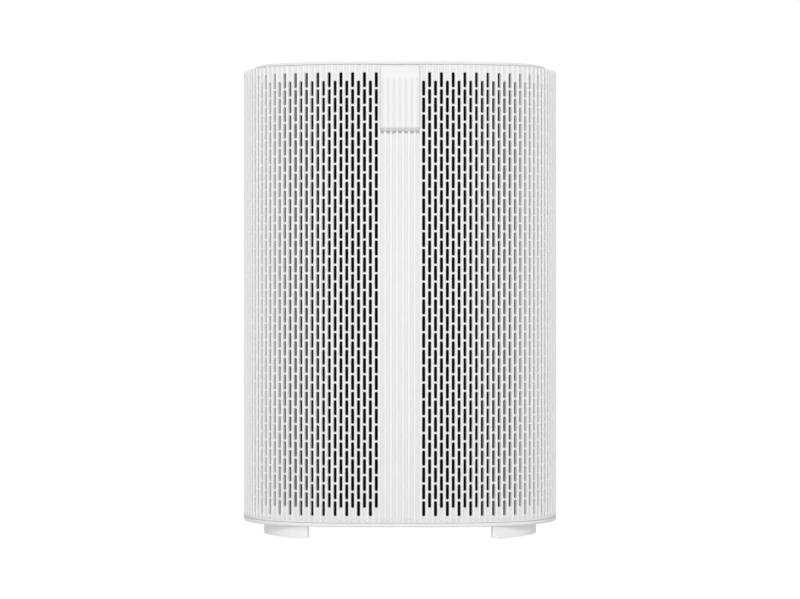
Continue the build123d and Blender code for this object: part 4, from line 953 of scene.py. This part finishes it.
def make_carbon():
    """Felt pad with a pressed border and staggered weld spots."""
    low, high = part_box("carbon_layer")
    columns = round((high.x - low.x) / CARBON_GRID)
    lines = round((high.z - low.z) / CARBON_GRID)

    def sunk(x, z):
        border = min(x - low.x, high.x - x, z - low.z, high.z - z)
        depth = CARBON_PRESSED * (1 - smooth(border / CARBON_BORDER))
        row = round((z - low.z) / CARBON_SPOT_PITCH)
        shift = 0.5 * CARBON_SPOT_PITCH * (row % 2)
        off_x = x - shift - round((x - shift) / CARBON_SPOT_PITCH) * CARBON_SPOT_PITCH
        off_z = z - low.z - row * CARBON_SPOT_PITCH
        if border < 2 * CARBON_BORDER:
            return depth
        return depth + CARBON_SPOT_DEPTH * exp(-(off_x ** 2 + off_z ** 2) / CARBON_SPOT_RADIUS ** 2)

    xs, zs = spread(low.x, high.x, columns), spread(low.z, high.z, lines)
    front = [[(x, low.y + sunk(x, z), z) for x in xs] for z in zs]
    back = [[(x, high.y, z) for x in xs] for z in zs]
    bm = bmesh.new()
    sheet_into(bm, front, back)
    piece = new_piece("carbon_pad", bm, "filter", "carbon")
    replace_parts(piece, "carbon_layer")


def make_pleats():
    """Filter sheet folded to and fro with rounded folds."""
    low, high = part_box("pleat_pack")
    periods = 2 * round(high.x / PLEAT_PITCH)
    middle, reach = (low.y + high.y) / 2, (high.y - low.y - PLEAT_SHEET) / 2
    path = []
    for i in range(periods * PLEAT_STEPS + 1):
        turn = 2 * pi * i / PLEAT_STEPS
        wave = asin(PLEAT_SHARPNESS * cos(turn)) / asin(PLEAT_SHARPNESS)
        path.append((low.x + (high.x - low.x) * i / (periods * PLEAT_STEPS), middle - reach * wave))
    skins = []
    for line in both_sides(path, [PLEAT_SHEET] * len(path)):
        skins.append([[(min(max(x, low.x), high.x), y, z) for x, y in line] for z in (low.z, high.z)])
    bm = bmesh.new()
    sheet_into(bm, *skins)
    piece = new_piece("pleated_sheet", bm, "filter", "paper", smooth_angle=50)
    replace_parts(piece, "pleat_pack")


def make_seal():
    """Foam strip round the back of the cartridge, crowned where it is free."""
    low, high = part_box("filter_seal")
    thick = high.y - low.y
    profile = [(0.0, low.y)]
    for share in spread(0, 1, SEAL_STEPS):
        rise = SEAL_EDGE_SHARE + (1 - SEAL_EDGE_SHARE) * sin(pi * share)
        profile.append((SEAL_WIDTH * share, low.y + thick * rise))
    profile.append((SEAL_WIDTH, low.y))
    bm = bmesh.new()
    loops = []
    for inset, y in profile:
        left, right = low.x + inset, high.x - inset
        bottom, top = low.z + inset, high.z - inset
        ring = [(left, bottom), (right, bottom), (right, top), (left, top)]
        loops.append([bm.verts.new((x, y, z)) for x, z in ring])
    for a, b in zip(loops, loops[1:] + loops[:1]):
        band_into(bm, a, b)
    piece = new_piece("foam_seal", bm, "filter", "foam")
    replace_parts(piece, "filter_seal")


def make_ribbon():
    """Woven pull strap that bows away from the cartridge between its sewn feet."""
    low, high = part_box("filter_strap")
    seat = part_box("filter_frame")[0].y
    loop_half = high.x - RIBBON_FOOT
    bow = seat - low.y - RIBBON_SHEET
    places = spread(low.x, -loop_half, RIBBON_FOOT_STEPS)[:-1]
    places += spread(-loop_half, loop_half, RIBBON_LOOP_STEPS)
    places += spread(loop_half, high.x, RIBBON_FOOT_STEPS)[1:]
    path = []
    for x in places:
        rise = bow * (1 - min(abs(x) / loop_half, 1) ** 2)
        path.append((x, seat - RIBBON_SHEET / 2 - rise))
    runs = [path_length(path[:i + 1]) for i in range(len(path))]
    inside = spread(low.z + 2 * RIBBON_EDGE, high.z - 2 * RIBBON_EDGE, RIBBON_ROWS)
    rows = [low.z, low.z + RIBBON_EDGE, *inside, high.z - RIBBON_EDGE, high.z]
    shares = RIBBON_EDGE_SHARES + [1.0] * len(inside) + RIBBON_EDGE_SHARES[::-1]
    bm = bmesh.new()
    bm.verts.layers.float_vector.new("weave")
    skins = [], []
    for z, share in zip(rows, shares):
        for skin, line in zip(skins, both_sides(path, [RIBBON_SHEET * share] * len(path))):
            skin.append([(x, y, z) for x, y in line])
    sheet_into(bm, *skins, [[(run, z) for run in runs] for z in rows])
    piece = new_piece("pull_ribbon", bm, "filter", "ribbon")
    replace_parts(piece, "filter_strap")
    stitches = bmesh.new()
    count = int((high.z - low.z - STITCH_LENGTH) / STITCH_PITCH)
    start = (low.z + high.z - count * STITCH_PITCH) / 2
    front = seat - (1 + STITCH_PROUD) * RIBBON_SHEET
    back = seat - (1 - STITCH_PROUD) * RIBBON_SHEET
    for side in (-1, 1):
        for share in STITCH_LINES:
            x = side * (high.x - share * RIBBON_FOOT)
            for i in range(count + 1):
                z = start + i * STITCH_PITCH
                corner = (x - STITCH_WIDTH / 2, front, z - STITCH_LENGTH / 2)
                other = (x + STITCH_WIDTH / 2, back, z + STITCH_LENGTH / 2)
                block_into(stitches, corner, other, STITCH_ROUND * STITCH_WIDTH)
    thread = new_piece("ribbon_stitches", stitches, "filter", "ribbon", THREAD)


def sign_strokes(name):
    """Strokes of one button's sign: points about its middle, and the width at each."""
    r = SIGN_RADIUS

    def arc(first, last):
        return [(r * cos(radians(t)), r * sin(radians(t))) for t in spread(first, last, SIGN_STEPS)]

    def even(points):
        return points, [SIGN_STROKE] * len(points)

    def swelling(points, thin):
        shares = spread(0, 1, len(points) - 1)
        return points, [SIGN_STROKE * (thin + SIGN_SWELL * sin(pi * t)) for t in shares]

    if name == "power":
        return [even(arc(*POWER_ARC)), even([(0, 0.25 * r), (0, 1.15 * r)])]
    if name == "timer":
        return [even(arc(*TIMER_ARC)), even([(0, 0.6 * r), (0, -0.1 * r), (0.45 * r, -0.1 * r)])]
    if name == "sleep":
        return [swelling(arc(*SLEEP_ARC), SLEEP_THIN)]
    blades = []
    for turn in BLADE_TURNS:
        points = []
        for t in spread(*BLADE_REACH, BLADE_STEPS):
            angle = radians(turn + BLADE_SWEEP * t)
            points.append((t * r * cos(angle), t * r * sin(angle)))
        blades.append(swelling(points, BLADE_THIN))
    return blades


def make_signs():
    """Generic sign on each button, printed a little proud of its top."""
    for name in ("power", "speed", "timer", "sleep"):
        low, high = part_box(f"{name}_button")
        x0, y0 = (low.x + high.x) / 2, (low.y + high.y) / 2
        bm = bmesh.new()
        for points, widths in sign_strokes(name):
            sides = both_sides([(x0 + x, y0 + y) for x, y in points], widths)
            top = [[(x, y, high.z + SIGN_HEIGHT) for x, y in line] for line in sides]
            bottom = [[(x, y, high.z - SIGN_HEIGHT / 2) for x, y in line] for line in sides]
            sheet_into(bm, top, bottom)
        new_piece(f"{name}_sign", bm, f"{name}_key", "button", MARK)


def tab_groove(x, z):
    """Depth of the tab's soft flutes, which fade in below its rounded top."""
    fade = smooth((TAB_HIGH.z - z - TAB_GROOVE_START) / (TAB_GROOVE_FULL - TAB_GROOVE_START))
    across = x - round(x / PITCH) * PITCH
    return fade * TAB_GROOVE_DEPTH * smooth((RIB_EDGE - abs(across)) / RIB_EDGE)


def tab_front(x, z):
    """Front of the pull tab: rounded top, soft flutes, lip that curves in under it, rounded sides."""
    proud = PLAN_LOW.y - TAB_FACE
    radius = (proud ** 2 + TAB_TOP_ROUND ** 2) / (2 * proud)
    y = TAB_FACE + rounding(radius, z - (TAB_HIGH.z - TAB_TOP_ROUND))
    under = max(TAB_LOW.z + TAB_LIP - z, 0.0) / TAB_LIP
    y += TAB_LIP_UNDERCUT * under ** TAB_LIP_CURVE
    y += tab_groove(x, z)
    return y + rounding(TAB_EDGE, abs(x) - (TAB_HALF - TAB_EDGE))


def tab_half(z):
    """Half width of the tab, drawn in at its rounded lower corners."""
    return TAB_HALF - rounding(TAB_CORNER, TAB_LOW.z + TAB_CORNER - z)


def make_tab():
    """Pull tab, with painted shade in its flutes and under its lip."""
    quarter = pi / 2
    lip_rows = [TAB_LOW.z + TAB_CORNER * (1 - cos(t)) for t in spread(0, quarter, TAB_CORNER_STEPS)]
    lip_rows += spread(TAB_LOW.z + TAB_CORNER, TAB_LOW.z + TAB_LIP, TAB_ROW_STEPS)
    groove_rows = spread(TAB_HIGH.z - TAB_GROOVE_FULL, TAB_HIGH.z - TAB_GROOVE_START, TAB_ROW_STEPS)
    round_low = TAB_HIGH.z - TAB_TOP_ROUND
    top_rows = [round_low + TAB_TOP_ROUND * sin(t) for t in spread(0, quarter, TAB_TOP_STEPS)]
    rows = sorted(set(lip_rows + groove_rows + top_rows))
    edge = [TAB_HALF - TAB_EDGE * (1 - sin(t)) for t in spread(0, quarter, TAB_EDGE_STEPS)]
    steps = spread(-(TAB_HALF - TAB_EDGE), TAB_HALF - TAB_EDGE, TAB_STEPS)
    places = sorted(set([-x for x in edge] + steps + edge))
    bm = bmesh.new()
    painted_light_level = bm.verts.layers.float.new("painted_light_level")
    grid, back = [], []
    for z in rows:
        half = tab_half(z)
        # Painted shade: the tab is darker overall, in its flutes and towards the bottom of its lip
        under = max(TAB_LOW.z + TAB_LIP - z, 0) / TAB_LIP
        lip_painted_shade = 1 - LIP_PAINTED_SHADE * smooth(2 * under)
        front_row = [bm.verts.new((x * half / TAB_HALF, tab_front(x, z), z)) for x in places]
        for x, vert in zip(places, front_row):
            vert[painted_light_level] = (TAB_PAINTED_LIGHT - GROOVE_PAINTED_SHADE * tab_groove(x, z) / TAB_GROOVE_DEPTH) * lip_painted_shade
        grid.append(front_row)
        ends = (places[0], places[-1])
        back.append([bm.verts.new((x * half / TAB_HALF, TAB_BACK, z)) for x in ends])
    for i in range(len(rows) - 1):
        for j in range(len(places) - 1):
            bm.faces.new([grid[i][j], grid[i][j + 1], grid[i + 1][j + 1], grid[i + 1][j]])
        bm.faces.new([grid[i][0], grid[i + 1][0], back[i + 1][0], back[i][0]])
        bm.faces.new([grid[i][-1], back[i][1], back[i + 1][1], grid[i + 1][-1]])
        bm.faces.new([back[i][0], back[i + 1][0], back[i + 1][1], back[i][1]])
    bm.faces.new(grid[0][::-1] + back[0])
    bm.faces.new(grid[-1] + back[-1][::-1])
    piece = new_piece("tab_shell", bm, "cover", "shell", FLUTED_PAINTED_SHADE, 40)
    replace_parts(piece, "pull_tab")


# Stage, light and camera


def background_share(tree):
    """One for camera, glossy and transmission rays, which see the plain white ground."""
    rays = tree.nodes.new("ShaderNodeLightPath").outputs
    seen = math_node(tree, "MAXIMUM", rays["Is Camera Ray"], rays["Is Glossy Ray"])
    return math_node(tree, "MAXIMUM", seen, rays["Is Transmission Ray"])


def mix_white(tree, share, lit, white, output):
    """Send a lit shader to the output, with a share of plain white in it."""
    mix = tree.nodes.new("ShaderNodeMixShader")
    tree.links.new(share, mix.inputs["Fac"])
    tree.links.new(lit.outputs[0], mix.inputs[1])
    tree.links.new(white.outputs[0], mix.inputs[2])
    tree.links.new(mix.outputs["Shader"], tree.nodes[output].inputs["Surface"])


def make_world():
    """Soft light from all round, which shows as plain white."""
    world = bpy.data.worlds.new("studio")
    bpy.context.scene.world = world
    world.use_nodes = True
    tree = world.node_tree
    light = tree.nodes["Background"]
    white = add_node(tree, "ShaderNodeBackground", {"Color": WHITE, "Strength": 1.0})
    set_inputs(light, {"Color": WHITE, "Strength": AMBIENT})
    mix_white(tree, background_share(tree), light, white, "World Output")


def make_floor():
    """White floor that keeps a trace of the tower's shadow."""
    bpy.ops.mesh.primitive_plane_add(size=FLOOR_SIZE, location=(0, 0, 0))
    floor = bpy.context.object
    floor.name = "floor"
    material, tree, shader = new_material("floor_white")
    set_inputs(shader, {"Base Color": FLOOR_SHADE, "Roughness": FLOOR_ROUGHNESS})
    set_inputs(shader, {"Emission Color": WHITE, "Emission Strength": FLOOR_LIGHT})
    glow = add_node(tree, "ShaderNodeEmission", {"Color": WHITE, "Strength": FLOOR_WHITE})
    share = math_node(tree, "MULTIPLY", background_share(tree), FLOOR_GLOW)
    mix_white(tree, share, shader, glow, "Material Output")
    floor.data.materials.append(material)


def make_lamp(name, place, size, power):
    """Square lamp aimed at the tower, which does not show in its gloss."""
    data = bpy.data.lights.new(name, "AREA")
    data.shape = "RECTANGLE"
    data.size = data.size_y = size
    data.energy = power
    lamp = bpy.data.objects.new(name, data)
    bpy.context.scene.collection.objects.link(lamp)
    lamp.visible_glossy = False
    lamp.location = place
    lamp.rotation_euler = (Vector(LAMP_TARGET) - Vector(place)).to_track_quat("-Z", "Y").to_euler()


def make_camera():
    data = bpy.data.cameras.new("camera")
    data.sensor_width = SENSOR_WIDTH
    data.lens = FOCAL_PIXELS / IMAGE_WIDTH * SENSOR_WIDTH
    data.shift_y = -HORIZON_ABOVE_CENTRE / IMAGE_WIDTH
    camera = bpy.data.objects.new("camera", data)
    bpy.context.scene.collection.objects.link(camera)
    camera.location = (0, PLAN_LOW.y - CAMERA_DISTANCE, CAMERA_HEIGHT)
    camera.rotation_euler = (pi / 2, 0, 0)
    bpy.context.scene.camera = camera


dress_nodes()
make_cover()
make_cover_bosses()
make_tab()
make_rear()
make_rear_forms()
make_screen()
make_carbon()
make_pleats()
make_seal()
make_ribbon()
make_signs()

make_world()
make_floor()
for lamp_values in LAMPS:
    make_lamp(*lamp_values)
make_camera()
bpy.context.scene.view_settings.view_transform = "Standard"
